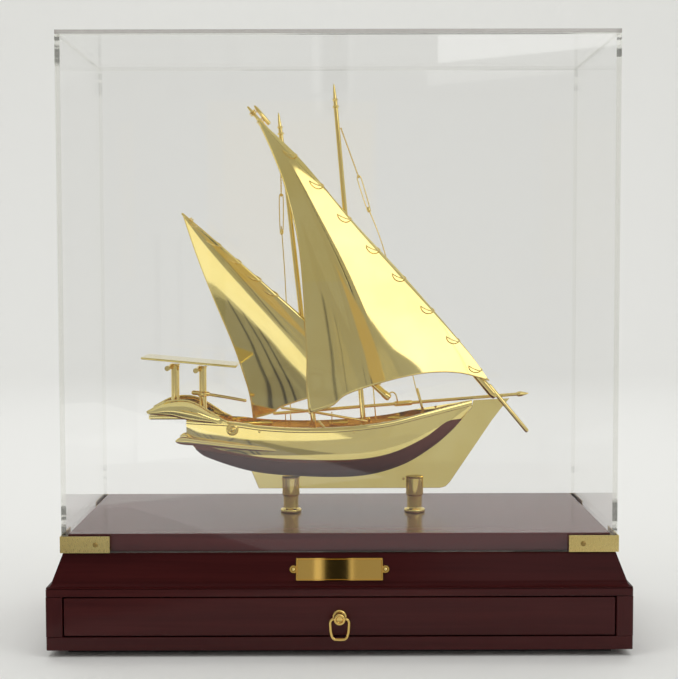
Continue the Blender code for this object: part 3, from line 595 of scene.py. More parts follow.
def cove_section():
    """(distance out from the cover's face, height) round the moulding: eased lip, slope, flare and foot."""
    low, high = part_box("cove_front")
    flare_start, flare_end = (0.0060, 0.0540), (0.0096, 0.0503)
    points = []
    lip = 0.0012
    for turn in quarter_turn(4):
        points.append((-0.0004 - lip * (1 - math.sin(turn)), high.z - lip * (1 - math.cos(turn))))
    points.append(flare_start)
    for turn in quarter_turn(14)[1:]:
        points.append((
            flare_end[0] - (flare_end[0] - flare_start[0]) * math.cos(turn),
            flare_start[1] - (flare_start[1] - flare_end[1]) * math.sin(turn),
        ))
    return points + [(flare_end[0], low.z), (-COVE_DEPTH, low.z), (-COVE_DEPTH, high.z)]


def make_coves():
    cover_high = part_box("cover_rear")[1]
    half_x, half_y = cover_high.x, cover_high.y
    gap = 0.0003
    sides = (("cove_front", half_x, half_y, 0, "X"), ("cove_right", half_y, half_x, 90, "Y"),
             ("cove_rear", half_x, half_y, 180, "X"), ("cove_left", half_y, half_x, 270, "Y"))
    for node, reach, distance, angle, grain in sides:
        turn = Matrix.Rotation(math.radians(angle), 4, "Z")
        rings = [
            [turn @ Vector((end * (reach + out - gap), -(distance + out), height)) for out, height in cove_section()]
            for end in (-1, 1)
        ]
        made = piece(f"{node}_moulding", loft_mesh(rings, 20), "base", COVE_WOOD[grain], node)
        keep_faces_flat(made)


# ---------------------------------------------------------------- name plate and pull

PLATE_WIDTH, PLATE_HEIGHT, PLATE_THICKNESS, PLATE_RIM = 0.0626, 0.0163, 0.0012, 0.0010
EYELET_RADIUS, EYELET_HOLE = 0.0029, 0.0013


def make_nameplate():
    """A rimmed plate with a sunk field, an eyelet at each end, and a domed pin in each eyelet."""
    low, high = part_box("nameplate")
    lean = math.radians(18.0)
    normal = Vector((0, -math.cos(lean), math.sin(lean)))
    where = standing((low + high) / 2, normal)
    half_x, half_y = PLATE_WIDTH / 2, PLATE_HEIGHT / 2
    shape = bmesh.new()
    ledge, field = PLATE_THICKNESS / 2, PLATE_THICKNESS / 2 - 0.00055
    levels = [(0.0, -ledge), (0.0, ledge - 0.0003), (0.0002, ledge), (PLATE_RIM - 0.0002, ledge),
              (PLATE_RIM + 0.0001, field), (0.004, field)]
    loft(shape, [[Vector((*spot, height)) for spot in rounded(rectangle(half_x - inset, half_y - inset), 0.0007)]
                 for inset, height in levels])
    for side in (-1, 1):
        place = Matrix.Translation((side * (half_x + EYELET_RADIUS * 0.6), 0, -PLATE_THICKNESS * 0.1))
        edge = PLATE_THICKNESS * 0.4
        profile = [(EYELET_HOLE, edge - 0.0002), (EYELET_HOLE + 0.0002, edge), (EYELET_RADIUS - 0.0003, edge),
                   (EYELET_RADIUS, edge - 0.0003), (EYELET_RADIUS, -edge), (EYELET_HOLE, -edge)]
        lathe(shape, profile, 32, place)
    bmesh.ops.transform(shape, matrix=where, verts=shape.verts)
    made = base_piece("nameplate_rimmed", shape, 30, PLATE_BRASS, "nameplate")
    keep_faces_flat(made)
    for side, node in ((-1, "nameplate_pin_left"), (1, "nameplate_pin_right")):
        eyelet = standing(where @ Vector((side * (half_x + EYELET_RADIUS * 0.6), 0, 0)), normal)
        dome = [(0, 0.0015), (0.0005, 0.00145), (0.0010, 0.0012), (0.0012, 0.0009), (0.00122, 0.0004),
                (0.0006, 0.0003), (0.0006, -0.0045), (0, -0.0055)]
        piece(f"{node}_domed", lathe_mesh(dome, 24, eyelet), "base", ROD_GOLD, node)


def make_pull():
    low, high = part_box("pull_rosette")
    centre = (low + high) / 2
    face = Vector((centre.x, high.y, centre.z))
    out = (0, -1, 0)
    radius, thick = (high.x - low.x) / 2, high.y - low.y
    profile = [(0.0022, thick), (radius - 0.0016, thick), (radius - 0.0009, thick),
               (radius - 0.0003, thick - 0.0003), (radius, thick - 0.0007), (radius, 0), (0.0022, 0)]
    piece("pull_rosette_turned", lathe_mesh(profile, 64, standing(face, out)), "drawer", BRASS,
          "pull_rosette")

    low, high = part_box("pull_stud")
    rim, tip = (high.x - low.x) / 2, face.y - low.y
    root = tip - 0.0055
    end = face.y - high.y
    profile = [(0, tip - 0.0012), (rim * 0.42, tip - 0.0012), (rim * 0.50, tip - 0.0010), (rim * 0.56, tip - 0.0004),
               (rim * 0.64, tip - 0.00005), (rim * 0.72, tip), (rim * 0.84, tip - 0.0001), (rim * 0.94, tip - 0.0005),
               (rim, tip - 0.0012), (rim, root + 0.0016), (rim * 0.94, root + 0.0008), (rim * 0.75, root + 0.0002),
               (0.0027, root - 0.0002), (0.0024, root - 0.0008), (0.0024, thick + 0.0004),
               (0.0019, thick + 0.0003), (0.0019, end + 0.0003), (0.0016, end), (0, end)]
    piece("pull_stud_turned", lathe_mesh(profile, 64, standing(face, out)), "drawer", BRASS,
          "pull_stud")

    low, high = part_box("pull_nut")
    nut_radius, nut_thick = (high.x - low.x) / 2, high.y - low.y
    profile = [(0.0021, nut_thick), (nut_radius * 0.86, nut_thick), (nut_radius, nut_thick - 0.0005),
               (nut_radius, 0.0005), (nut_radius * 0.86, 0), (0.0021, 0)]
    back = Vector((centre.x, high.y, centre.z))
    piece("pull_nut_chamfered", lathe_mesh(profile, 6, standing(back, out), 20), "drawer", BRASS,
          "pull_nut")

    low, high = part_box("pull_bail")
    wire = (high.y - low.y) / 2
    wide, axis, foot = high.x - wire, high.z - wire, low.z + wire
    drop, y = axis - foot, (low.y + high.y) / 2
    half = [(0.0024, 0.0), (0.0044, 0.0), (0.0058, -0.0006), (wide - 0.0001, -0.0020), (wide, -0.0038),
            (wide - 0.0003, -0.0085), (wide - 0.0008, drop * -0.74), (wide - 0.0014, drop * -0.88),
            (wide - 0.0028, drop * -0.975), (wide - 0.0046, -drop)]
    route = half + [(-x, z) for x, z in reversed(half)]
    line = smooth_line([(x, y, axis + z) for x, z in route], 6)
    piece("pull_bail_bent", tube_mesh(line, wire, 20), "bail", BRASS, "pull_bail")


# ---------------------------------------------------------------- cover

SHEET_EDGE = 0.00015


def make_cover():
    """Each sheet in clear acrylic with polished edges."""
    for node in ("cover_front", "cover_rear", "cover_left", "cover_right", "cover_top"):
        low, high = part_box(node)
        mesh = board_mesh(low, high, SHEET_EDGE, 1)
        size = high - low
        thin = min(range(3), key=lambda axis: size[axis])
        for face in mesh.polygons:
            face.material_index = 0 if abs(face.normal[thin]) > 0.9 else 1
        edge = TOP_EDGE if node == "cover_top" else EDGE
        made = piece(f"{node}_sheet", mesh, "cover", (CLEAR, edge), node)
        keep_faces_flat(made)


SCREW_TURNS = (12, 64, 101, 38, 155, 83, 20, 128)  # degrees, how far round each screw's slot stopped


def make_brackets():
    """Bent brass angles, and their slotted round-head screws."""
    sheet = 0.0008
    leg = 0.036
    for y_side, face in ((-1, "front"), (1, "rear")):
        for x_side, hand in ((-1, "left"), (1, "right")):
            node = f"corner_bracket_{face}_{hand}"
            low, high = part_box(node)
            corner = Vector((high.x if x_side > 0 else low.x, high.y if y_side > 0 else low.y))
            steps = [(0, 0), (-leg, 0), (-leg, -sheet), (-sheet, -sheet), (-sheet, -leg), (0, -leg)]
            outline = [corner + Vector((x_side * x, y_side * y)) for x, y in steps]
            outline = rounded(outline, 0.00035, 2)
            mid = (low.z + high.z) / 2
            mesh = plate_mesh(outline, high.z - low.z, 0.0002, Matrix.Translation((0, 0, mid)))
            keep_faces_flat(piece(f"{node}_bent", mesh, "cover", SATIN_BRASS, node))
    names = [f"bracket_screw_{face}_{hand}_{leg}" for face in ("front", "rear") for hand in ("left", "right")
             for leg in "ab"]
    for node, turn in zip(names, SCREW_TURNS):
        low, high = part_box(node)
        centre = (low + high) / 2
        size = high - low
        axis = 1 if node.endswith("a") else 0
        sign = -1 if centre[axis] < 0 else 1
        out = Vector([sign if i == axis else 0 for i in range(3)])
        head = size.z / 2
        tip = Vector(centre)
        tip[axis] = low[axis] if sign < 0 else high[axis]
        length = size[axis]
        profile = [(0, 0), (head * 0.35, -0.00004), (head * 0.62, -0.00016), (head * 0.85, -0.0004),
                   (head * 0.97, -0.0007), (head, -0.0010), (0.00095, -0.0010), (0.00095, 0.0004 - length),
                   (0, -length)]
        where = standing(tip, out)
        body = lathe_mesh(profile, 28, where)
        slot = board_mesh(Vector((-0.003, -0.00022, -0.00045)), Vector((0.003, 0.00022, 0.001)), 0.00005, 1)
        slot.transform(where @ Matrix.Rotation(math.radians(turn), 4, "Z"))
        # The screws take the darkened brass of painted dark reflection.
        piece(f"{node}_slotted", carved(body, slot), "cover", DARKENED_BRASS, node)


# ---------------------------------------------------------------- ship: hull

# (x, height) along the hull: the foot of its sections, its top edge, and its half-beam at that edge.
HULL_FOOT = [(-0.118, 0.1440), (-0.112, 0.1370), (-0.104, 0.1310), (-0.069, 0.1200), (-0.030, 0.1160),
             (0.017, 0.1162), (0.048, 0.1240), (0.071, 0.1370), (0.088, 0.1510), (0.104, 0.1690)]
HULL_SHEER = [(-0.118, 0.1615), (-0.082, 0.1600), (-0.061, 0.1575), (-0.041, 0.1562), (-0.020, 0.1559),
              (0.001, 0.1566), (0.020, 0.1582), (0.040, 0.1608), (0.064, 0.1660), (0.104, 0.1742)]
HULL_BEAM = [(-0.118, 0.0130), (-0.100, 0.0165), (-0.085, 0.0182), (-0.060, 0.0225), (-0.010, 0.0258),
             (0.030, 0.0248), (0.060, 0.0190), (0.085, 0.0095), (0.104, 0.0016)]
HULL_STERN, HULL_BOW = HULL_FOOT[0][0], HULL_FOOT[-1][0]
FULLNESS = 0.62
HULL_WALL = 0.0012
DECK_BELOW_SHEER, DECK_SHEET = 0.0065, 0.0012
BAND_TOP = [(-0.1115, 0.1378), (-0.068, 0.1321), (-0.037, 0.1290), (0.005, 0.1296), (0.040, 0.1358),
            (0.067, 0.1474), (0.084, 0.1586), (0.0955, 0.1602)]


def on_hull(x, turn, proud=0.0):
    """A point on the hull's outside. turn runs from 0 at the keel to a quarter turn at the sheer, and is negative
    on the near side. proud lifts the point off the surface."""

    def bare(x, turn):
        foot, sheer, beam = along(HULL_FOOT, x), along(HULL_SHEER, x), along(HULL_BEAM, x)
        across = math.copysign(abs(math.sin(turn)) ** FULLNESS, turn)
        return Vector((x, beam * across, sheer - (sheer - foot) * max(math.cos(turn), 0.0) ** FULLNESS))

    point = bare(x, turn)
    if proud:
        step = 0.004
        turn = math.copysign(min(abs(turn), math.pi / 2 - step), turn)
        normal = (bare(x + 0.001, turn) - bare(x - 0.001, turn)).cross(bare(x, turn + step) - bare(x, turn - step))
        outward = Vector((0, math.sin(turn), -math.cos(turn)))
        point += normal.normalized() * math.copysign(proud, normal.dot(outward))
    return point


def turn_at(x, height, wall=0.0):
    """How far round the hull's section a height is, on the outside or inside a wall."""
    foot, sheer = along(HULL_FOOT, x) + 1.5 * wall, along(HULL_SHEER, x)
    drop = min(max((sheer - height) / (sheer - foot), 0.0), 1.0)
    return math.acos(drop ** (1 / FULLNESS))


def inner_half_width(x, height):
    return (along(HULL_BEAM, x) - HULL_WALL) * math.sin(turn_at(x, height, HULL_WALL)) ** FULLNESS


def hull_ring(x, wall=0.0):
    """One section of the hull from gunwale to gunwale, set in by a wall."""
    foot, sheer = along(HULL_FOOT, x) + 1.5 * wall, along(HULL_SHEER, x)
    beam = max(along(HULL_BEAM, x) - wall, 0.0004)
    side = []
    for turn in quarter_turn(22):
        side.append((beam * math.sin(turn) ** FULLNESS, sheer - (sheer - foot) * math.cos(turn) ** FULLNESS))
    return [Vector((x, -y, z)) for y, z in reversed(side)] + [Vector((x, y, z)) for y, z in side[1:]]


def make_hull():
    """The shell: an outer and an inner skin, joined by a rim at the gunwale and by the stern and bow ends."""
    count = 72
    outer = [hull_ring(x) for x in stations(HULL_STERN, HULL_BOW, count)]
    inner = [hull_ring(x, HULL_WALL) for x in stations(HULL_STERN + 0.0025, 0.0975, count)]
    shape = bmesh.new()
    grid = skin(shape, [a + b[::-1] for a, b in zip(outer, inner)])
    half = len(outer[0])
    for ring in (grid[0], grid[-1]):
        for i in range(half - 1):
            shape.faces.new((ring[i], ring[i + 1], ring[-2 - i], ring[-1 - i]))
    base_piece("hull_shell", shape, 40, GOLD, "hull")


EMBED = 0.0003  # how far what is laid on the hull sinks into it


def side_strip(shape, xs, low, high, proud, side):
    """A solid strip along the hull's side between two heights, added to a bmesh.
    proud gives how far it stands off the surface at a share of its length and of its width."""
    rings = []
    across = 8
    for i, x in enumerate(xs):
        share = i / (len(xs) - 1)
        first, last = turn_at(x, low(x)), turn_at(x, high(x))
        turns = [side * (first + (last - first) * k / across) for k in range(across + 1)]
        outer = [on_hull(x, t, proud(share, k / across)) for k, t in enumerate(turns)]
        rings.append(outer + [on_hull(x, t, -EMBED) for t in reversed(turns)])
    loft(shape, rings)


def cushion(width):
    """0 at the edges of a strip and 1 over its middle, rounded like a quarter circle at each edge."""
    distance = abs(2 * width - 1)
    return math.sqrt(max(1 - distance**4, 0.0))


def make_hull_dress():
    """The enamel band and the wales under the gunwale."""
    shape = bmesh.new()
    rings = []
    for x in stations(-0.1115, 0.0955, 70):
        reach = turn_at(x, along(BAND_TOP, x))
        turns = stations(-reach, reach, 45)
        lift = [0.00028 * min(1.0, 6 * (1 - abs(t) / max(reach, 1e-6)) + 0.35) for t in turns]
        rings.append([on_hull(x, t, p) for t, p in zip(turns, lift)] + [on_hull(x, t, -EMBED) for t in turns[::-1]])
    loft(shape, rings)
    base_piece("hull_enamel_band", shape, 50, ENAMEL)

    wales = bmesh.new()
    for side in (-1, 1):
        xs = stations(-0.1178, 0.1035, 70)
        side_strip(wales, xs, lambda x: along(HULL_SHEER, x) - 0.0040, lambda x: along(HULL_SHEER, x) - 0.0001,
                   lambda share, width: 0.0001 + 0.0007 * cushion(width), side)
    base_piece("hull_wales", wales, 50, GOLD)


STRAKE = [  # (x, y, height, half height, half thickness) along the near stern strake
    (-0.1262, -0.0150, 0.1445, 0.0006, 0.0010), (-0.1235, -0.0148, 0.1448, 0.0024, 0.0018),
    (-0.1190, -0.0146, 0.1447, 0.0032, 0.0024), (-0.1120, -0.0150, 0.1441, 0.0030, 0.0028),
    (-0.0950, -0.0182, 0.1425, 0.0026, 0.0026), (-0.0750, -0.0205, 0.1405, 0.0022, 0.0020),
    (-0.0500, -0.0216, 0.1386, 0.0017, 0.0014), (-0.0320, -0.0215, 0.1372, 0.0012, 0.0009),
    (-0.0240, -0.0210, 0.1365, 0.0004, 0.0003),
]


def make_strakes():
    """A leaf-shaped strake on each quarter. It tapers forward along the hull and ends in a point past the stern."""
    shape = bmesh.new()
    line = smooth_line([Vector(s[:3]) for s in STRAKE], 5)
    sizes = smooth_line([Vector((s[3], s[4], 0)) for s in STRAKE], 5)
    for side in (1, -1):
        rings = []
        for point, size in zip(line, sizes):
            ring = []
            for turn in full_turn(16):
                up = math.copysign(abs(math.sin(turn)) ** 0.8, math.sin(turn)) * max(size.x, 0.0002)
                out = math.cos(turn) * max(size.y, 0.0002)
                ring.append(Vector((point.x, side * (point.y + out), point.z + up)))
            rings.append(ring)
        loft(shape, rings)
    base_piece("hull_strakes", shape, 50, GOLD)


def make_bosses():
    """Round bosses on the quarters, rivets along the inside of the bulwarks and small pins on the sides."""
    shape = bmesh.new()
    boss = [(0, 0.0034), (0.0008, 0.0033), (0.0014, 0.0028), (0.0016, 0.0022), (0.0018, 0.0019), (0.0026, 0.0020),
            (0.0034, 0.0023), (0.0041, 0.0021), (0.0046, 0.0014), (0.0047, 0.0006), (0.0047, -0.0010), (0, -0.0010)]
    stud = [(0, 0.0009), (0.0004, 0.00085), (0.0008, 0.0006), (0.0009, 0.0002), (0.0009, -0.0006), (0, -0.0006)]
    for side in (-1, 1):
        x, height = -0.0820, 0.1540
        place = on_hull(x, side * turn_at(x, height))
        lathe(shape, boss, 40, standing(place, (0, side, 0.05)))
        for x in (-0.061, 0.0115):
            height = along(HULL_SHEER, x) - 0.0048
            lathe(shape, stud, 20, standing(on_hull(x, side * turn_at(x, height)), (0, side, 0)))
        for x in (-0.080, -0.0425, -0.0055, 0.0300, 0.0660):
            height = along(HULL_SHEER, x) - 0.0034
            wide = inner_half_width(x, height)
            lathe(shape, stud, 20, standing((x, side * (wide + 0.0002), height), (0, -side, 0)))
    base_piece("hull_bosses", shape, 40, ROD_GOLD)


def make_ship_deck():
    rings = []
    for x in stations(HULL_STERN + 0.0032, 0.094, 50):
        top = along(HULL_SHEER, x) - DECK_BELOW_SHEER
        gap = 0.0002
        wide = inner_half_width(x, top) - gap
        narrow = inner_half_width(x, top - DECK_SHEET) - gap
        low = top - DECK_SHEET
        rings.append([Vector((x, -wide, top)), Vector((x, wide, top)), Vector((x, narrow, low)),
                      Vector((x, -narrow, low))])
    # The deck plate and its battens take the deep orange of painted reflection.
    piece("hull_deck_plate", loft_mesh(rings), "base", DECK_GOLD, "hull_deck")
    seams = bmesh.new()
    for lane in range(-3, 4):
        points = []
        for x in stations(-0.110, 0.088, 60):
            wide = inner_half_width(x, along(HULL_SHEER, x) - DECK_BELOW_SHEER)
            points.append(Vector((x, lane * wide / 4.2, along(HULL_SHEER, x) - DECK_BELOW_SHEER)))
        tube(seams, points, 0.00028, 6)
    base_piece("hull_deck_battens", seams, 35, DECK_GOLD)
    hatches = bmesh.new()
    for x, length, width in ((-0.060, 0.018, 0.016), (0.0000, 0.014, 0.014), (0.0420, 0.016, 0.013)):
        top = along(HULL_SHEER, x) - DECK_BELOW_SHEER
        plate(hatches, rounded(rectangle(length / 2, width / 2), 0.0012), 0.0022, 0.0004,
              Matrix.Translation((x, 0, top + 0.0011)))
    base_piece("hull_deck_hatches", hatches, 35, ROD_GOLD)


KEEL_THICKNESS, KEEL_BOTTOM = 0.0016, 0.1052


def make_keel_plate():
    upper = [(x, along(HULL_FOOT, x) - 0.0003) for x in stations(0.1038, -0.0690, 40)]
    stem = [(-0.0630, KEEL_BOTTOM), (0.0790, KEEL_BOTTOM), (0.0835, 0.1064), (0.0870, 0.1100), (0.1200, 0.1590),
            (0.1265, 0.1675), (0.1333, 0.1757), (0.1052, 0.1743)]
    where = Matrix.Rotation(math.radians(90), 4, "X")
    outline = [Vector(p) for p in upper + stem]
    mesh = plate_mesh(outline, KEEL_THICKNESS, 0.00025, where)
    keep_faces_flat(piece("keel_plate_cut", mesh, "base", GOLD, "keel_plate"))
    pin = bmesh.new()
    profile = [(0, 0.0016), (0.0006, 0.0015), (0.0009, 0.0011), (0.0009, -0.0011), (0.0006, -0.0015), (0, -0.0016)]
    for x, height in ((-0.0443, 0.1126), (0.0505, 0.1126)):
        lathe(pin, profile, 20, standing((x, 0, height), (0, -1, 0)))
    base_piece("keel_rivets", pin, 35, BRASS)


def make_stand_posts():
    """Turned posts with a slot across the top that takes the keel plate."""
    for node in ("stand_post_aft", "stand_post_fore"):
        low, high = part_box(node)
        centre = (low + high) / 2
        tall = high.z - low.z
        profile = [(0, tall), (0.0062, tall), (0.0067, tall - 0.0002), (0.0071, tall - 0.0006),
                   (0.0071, tall - 0.0012), (0.00685, tall - 0.0017), (0.0068, 0.0140), (0.0066, 0.0134),
                   (0.0061, 0.0131), (0.0059, 0.0126), (0.0059, 0.0040), (0.0061, 0.0032), (0.0066, 0.0028),
                   (0.0076, 0.0026), (0.0080, 0.0023), (0.0082, 0.0018), (0.0082, 0.0006), (0.0080, 0), (0, 0)]
        post = lathe_mesh(profile, 64, Matrix.Translation((centre.x, 0, low.z)))
        slot = board_mesh(Vector((centre.x - 0.015, -0.0010, KEEL_BOTTOM - 0.0002)),
                          Vector((centre.x + 0.015, 0.0010, KEEL_BOTTOM + 0.02)), 0.0001, 1)
        keep_faces_flat(piece(f"{node}_turned", carved(post, slot), "base", ROD_GOLD, node))


# ---------------------------------------------------------------- ship: masts, yards and rigging

MAST_PROFILE = [
    (0.0, 0.0026), (0.010, 0.0026), (0.013, 0.0021), (0.5, 0.0020), (0.928, 0.0017), (0.931, 0.0017),
    (0.9325, 0.0024), (0.935, 0.0027), (0.9375, 0.0024), (0.939, 0.0016), (0.951, 0.0016), (0.9525, 0.0021),
    (0.955, 0.0023), (0.957, 0.0021), (0.9585, 0.0014), (0.990, 0.0008), (1.0, 0.0003),
]


def rod(shape, start, end, profile, sides=24):
    """A turned rod between two points. The profile is (share of the length, radius) from the start."""
    start, end = Vector(start), Vector(end)
    length = (end - start).length
    outline = [(0, length)] + [(radius, share * length) for share, radius in reversed(profile)] + [(0, 0)]
    lathe(shape, outline, sides, standing(start, end - start))


def rod_piece(name, start, end, profile, stands_for=(), sides=24):
    shape = bmesh.new()
    rod(shape, start, end, profile, sides)
    return base_piece(name, shape, 30, ROD_GOLD, stands_for)


def collar(shape, place, direction, radius, wire, sides=24):
    """A small ring round a rod."""
    tube(shape, ring_points(place, direction, radius, sides), wire, 8, closed=True)


MAIN_YARD = (Vector((0.1215, -0.0057, 0.1774)), Vector((-0.0697, -0.0057, 0.4017)))
MIZZEN_YARD = (Vector((0.0394, -0.0055, 0.1764)), Vector((-0.1210, -0.0055, 0.3201)))


def make_masts():
    tops = (("main_mast", 0.0196, (-0.0034, 0, 0.4195)), ("mizzen_mast", -0.0190, (-0.0462, 0, 0.3976)))
    for node, foot, top in tops:
        step = (foot, 0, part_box(node)[0].z)
        rod_piece(f"{node}_turned", step, top, MAST_PROFILE, node, 32)


def make_yards():
    shape = bmesh.new()
    start, end = MAIN_YARD
    rod(shape, start, end, [(0.0, 0.0022), (0.004, 0.0029), (0.012, 0.0031), (0.55, 0.0030), (0.90, 0.0019),
                            (0.995, 0.0010), (1.0, 0.0006)], 32)
    y = start.y
    rod(shape, (0.1165, y, 0.1868), (0.1468, y, 0.1502), [(0.0, 0.0014), (0.02, 0.0017), (0.97, 0.0017),
                                                           (0.985, 0.0016), (1.0, 0.0011)], 24)
    base_piece("main_yard_turned", shape, 30, ROD_GOLD, "main_yard")
    rod_piece("mizzen_yard_turned", *MIZZEN_YARD, [
        (0.0, 0.0022), (0.004, 0.0029), (0.014, 0.0031), (0.026, 0.0031), (0.030, 0.0027), (0.50, 0.0026),
        (0.90, 0.0017), (0.995, 0.0010), (1.0, 0.0006)], "mizzen_yard", 32)

    lashing = bmesh.new()
    for (start, end), shares in ((MAIN_YARD, (0.945, 0.952, 0.975, 0.981)), (MIZZEN_YARD, (0.955, 0.963))):
        along_yard = (end - start).normalized()
        for share in shares:
            place = start.lerp(end, share)
            collar(lashing, place, along_yard, 0.0024, 0.00055)
    second = MAIN_YARD[0].lerp(MAIN_YARD[1], 0.93) + Vector((0.0035, 0.0005, 0.0022))
    tip = Vector((-0.0644, -0.0052, 0.4024))
    rod(lashing, second, tip, [(0.0, 0.0012), (0.05, 0.0017), (0.8, 0.0014), (1.0, 0.0007)], 16)
    base_piece("yard_lashings", lashing, 35, ROD_GOLD)


def make_bowsprit():
    rod_piece("bowsprit_turned", (-0.0520, 0.0075, 0.1633), (0.1481, 0.0, 0.1796), [
        (0.0, 0.0008), (0.006, 0.0012), (0.012, 0.0013), (0.476, 0.0013), (0.478, 0.0019), (0.484, 0.0021),
        (0.540, 0.0021), (0.546, 0.0019), (0.548, 0.0013), (0.955, 0.0013), (0.958, 0.0019), (0.966, 0.0021),
        (0.974, 0.0019), (1.0, 0.0004)], "bowsprit")


def stay(name, points, doubled, turnbuckle, node):
    """A wire stay: two twisted strands down to a point, a frame turnbuckle, then a single wire."""
    points = [Vector(p) for p in points]
    shape = bmesh.new()
    top, frame_top, frame_foot = points[0], Vector(doubled), Vector(turnbuckle)
    tube(shape, smooth_line([frame_foot] + [p for p in points if p.z < frame_foot.z], 5), 0.00042, 10)
    run = frame_top - top
    side = run.orthogonal().normalized()
    up = run.normalized().cross(side)
    for phase in (0, math.pi):
        strand = []
        for step in range(121):
            share = step / 120
            turn = phase + share * run.length / 0.0042 * 2 * math.pi
            strand.append(top + run * share + 0.00032 * (side * math.cos(turn) + up * math.sin(turn)))
        tube(shape, strand, 0.00030, 8)
    axis = (frame_foot - frame_top).normalized()
    flat = axis.cross(Vector((0, 1, 0))).normalized()
    wide = 0.0015
    loop = [frame_top - axis * 0.0010]
    for sign in (1, -1):
        ends = [frame_top + axis * 0.0012 + flat * wide * sign, frame_foot - axis * 0.0014 + flat * wide * 0.8 * sign]
        loop += ends if sign > 0 else ends[::-1]
        if sign > 0:
            loop.append(frame_foot + axis * 0.0004)
    tube(shape, smooth_line(loop, 6, closed=True), 0.00042, 10, closed=True)
    knob = [(0, 0.0022), (0.0009, 0.0020), (0.0014, 0.0013), (0.0016, 0.0), (0.0014, -0.0014), (0.0009, -0.0021),
            (0, -0.0023)]
    lathe(shape, knob, 20, standing(frame_foot + axis * 0.0012, axis))
    collar(shape, frame_top - axis * 0.0012, flat.cross(axis), 0.0009, 0.0003, 16)
    collar(shape, top, run, 0.0008, 0.0003, 16)
    base_piece(name, shape, 45, ROD_GOLD, node)


def make_stays():
    stay("main_stay_wire", [(0.0021, 0.0027, 0.3858), (0.0225, 0.0022, 0.3259), (0.0374, 0.0016, 0.2845),
                            (0.0579, -0.0002, 0.1933), (0.0625, -0.0007, 0.1757), (0.0668, -0.0010, 0.1606)],
         (0.0160, 0.0024, 0.3475), (0.0232, 0.0022, 0.3240), "main_stay")
    stay("mizzen_stay_wire", [(-0.0450, 0.0030, 0.3842), (-0.0442, 0.0030, 0.3064), (-0.0411, 0.0030, 0.2552),
                              (-0.0375, 0.0030, 0.1502)],
         (-0.0445, 0.0030, 0.3334), (-0.0443, 0.0030, 0.3070), "mizzen_stay")


def make_small_rigging():
    """The short spars, sheets, stanchions and hook about the deck."""
    shape = bmesh.new()
    spar = [(-0.0442, -0.0060, 0.1692), (-0.0208, -0.0060, 0.1661), (0.0215, -0.0040, 0.1583)]
    tube(shape, smooth_line(spar, 6), 0.00105, 12)
    tube(shape, [(-0.0157, -0.0205, 0.1606), (-0.0050, -0.0243, 0.1490)], 0.0009, 12)
    knob = [(0, 0.0012), (0.0010, 0.0008), (0.0014, 0.0), (0.0010, -0.0008), (0, -0.0012)]
    lathe(shape, knob, 16, standing((-0.0050, -0.0243, 0.1490), (0, -1, 0)))
    tube(shape, [(0.0269, 0.0060, 0.1850), (0.0293, 0.0080, 0.1560)], 0.0005, 10)
    tube(shape, [(0.0614, -0.0006, 0.1830), (0.0656, -0.0009, 0.1665)], 0.0010, 12)
    for x in (-0.0425, -0.0055, 0.0660):
        foot = along(HULL_SHEER, x) - 0.0034
        y = inner_half_width(x, foot) - 0.0006
        tube(shape, [(x, y, foot), (x - 0.0002, y - 0.0030, foot + 0.0100)], 0.0004, 8)
    hook = [(0.0380, -0.0050, 0.1790), (0.0412, -0.0045, 0.1812), (0.0440, -0.0040, 0.1796),
            (0.0452, -0.0035, 0.1760), (0.0457, -0.0020, 0.1722)]
    tube(shape, smooth_line(hook, 6), 0.00055, 10)
    base_piece("small_rigging", shape, 45, ROD_GOLD)


# ---------------------------------------------------------------- ship: sails

# Sail edges as (height, x), upwards: the luff carries on below the tack, where only the line is used.
MAIN_LUFF = [(0.1600, 0.1405), (0.1909, 0.1160), (0.2157, 0.0978), (0.2690, 0.0522), (0.3130, 0.0116),
             (0.3622, -0.0303), (0.3933, -0.0628)]
MAIN_LEECH = [(0.1667, -0.0227), (0.1890, -0.0246), (0.2160, -0.0246), (0.2895, -0.0296), (0.3375, -0.0400),
              (0.3660, -0.0504), (0.3933, -0.0628)]
MIZZEN_LUFF = [(0.1600, 0.0640), (0.1880, 0.0320), (0.2230, -0.0080), (0.2574, -0.0473), (0.2720, -0.0637),
               (0.2952, -0.0908), (0.3175, -0.1190)]
MIZZEN_LEECH = [(0.1600, -0.0672), (0.1790, -0.0700), (0.1948, -0.0745), (0.2180, -0.0822), (0.2565, -0.0978),
                (0.2874, -0.1093), (0.3175, -0.1190)]
# The sails' lower edges as (x, height), from clew to tack.
MAIN_FOOT = [(-0.0227, 0.1667), (-0.0058, 0.1729), (0.0048, 0.1815), (0.0236, 0.1886), (0.0464, 0.1949),
             (0.0695, 0.1983), (0.0933, 0.1972), (0.1160, 0.1909)]
MIZZEN_FOOT = [(-0.0672, 0.1600), (-0.0518, 0.1649), (-0.0456, 0.1694), (-0.0255, 0.1767), (0.0000, 0.1844),
               (0.0320, 0.1880)]
SAIL_THICKNESS = 0.0008
MAIN_RINGS = (0.3903, 0.3642, 0.3411, 0.3157, 0.2917, 0.2701, 0.2452, 0.2218, 0.1992)  # heights along the luff
MIZZEN_RINGS = (0.3100, 0.2953, 0.2822, 0.2690, 0.2574)


LEECH_ROWS, FOOT_ROWS, SAIL_COLUMNS = 60, 40, 44


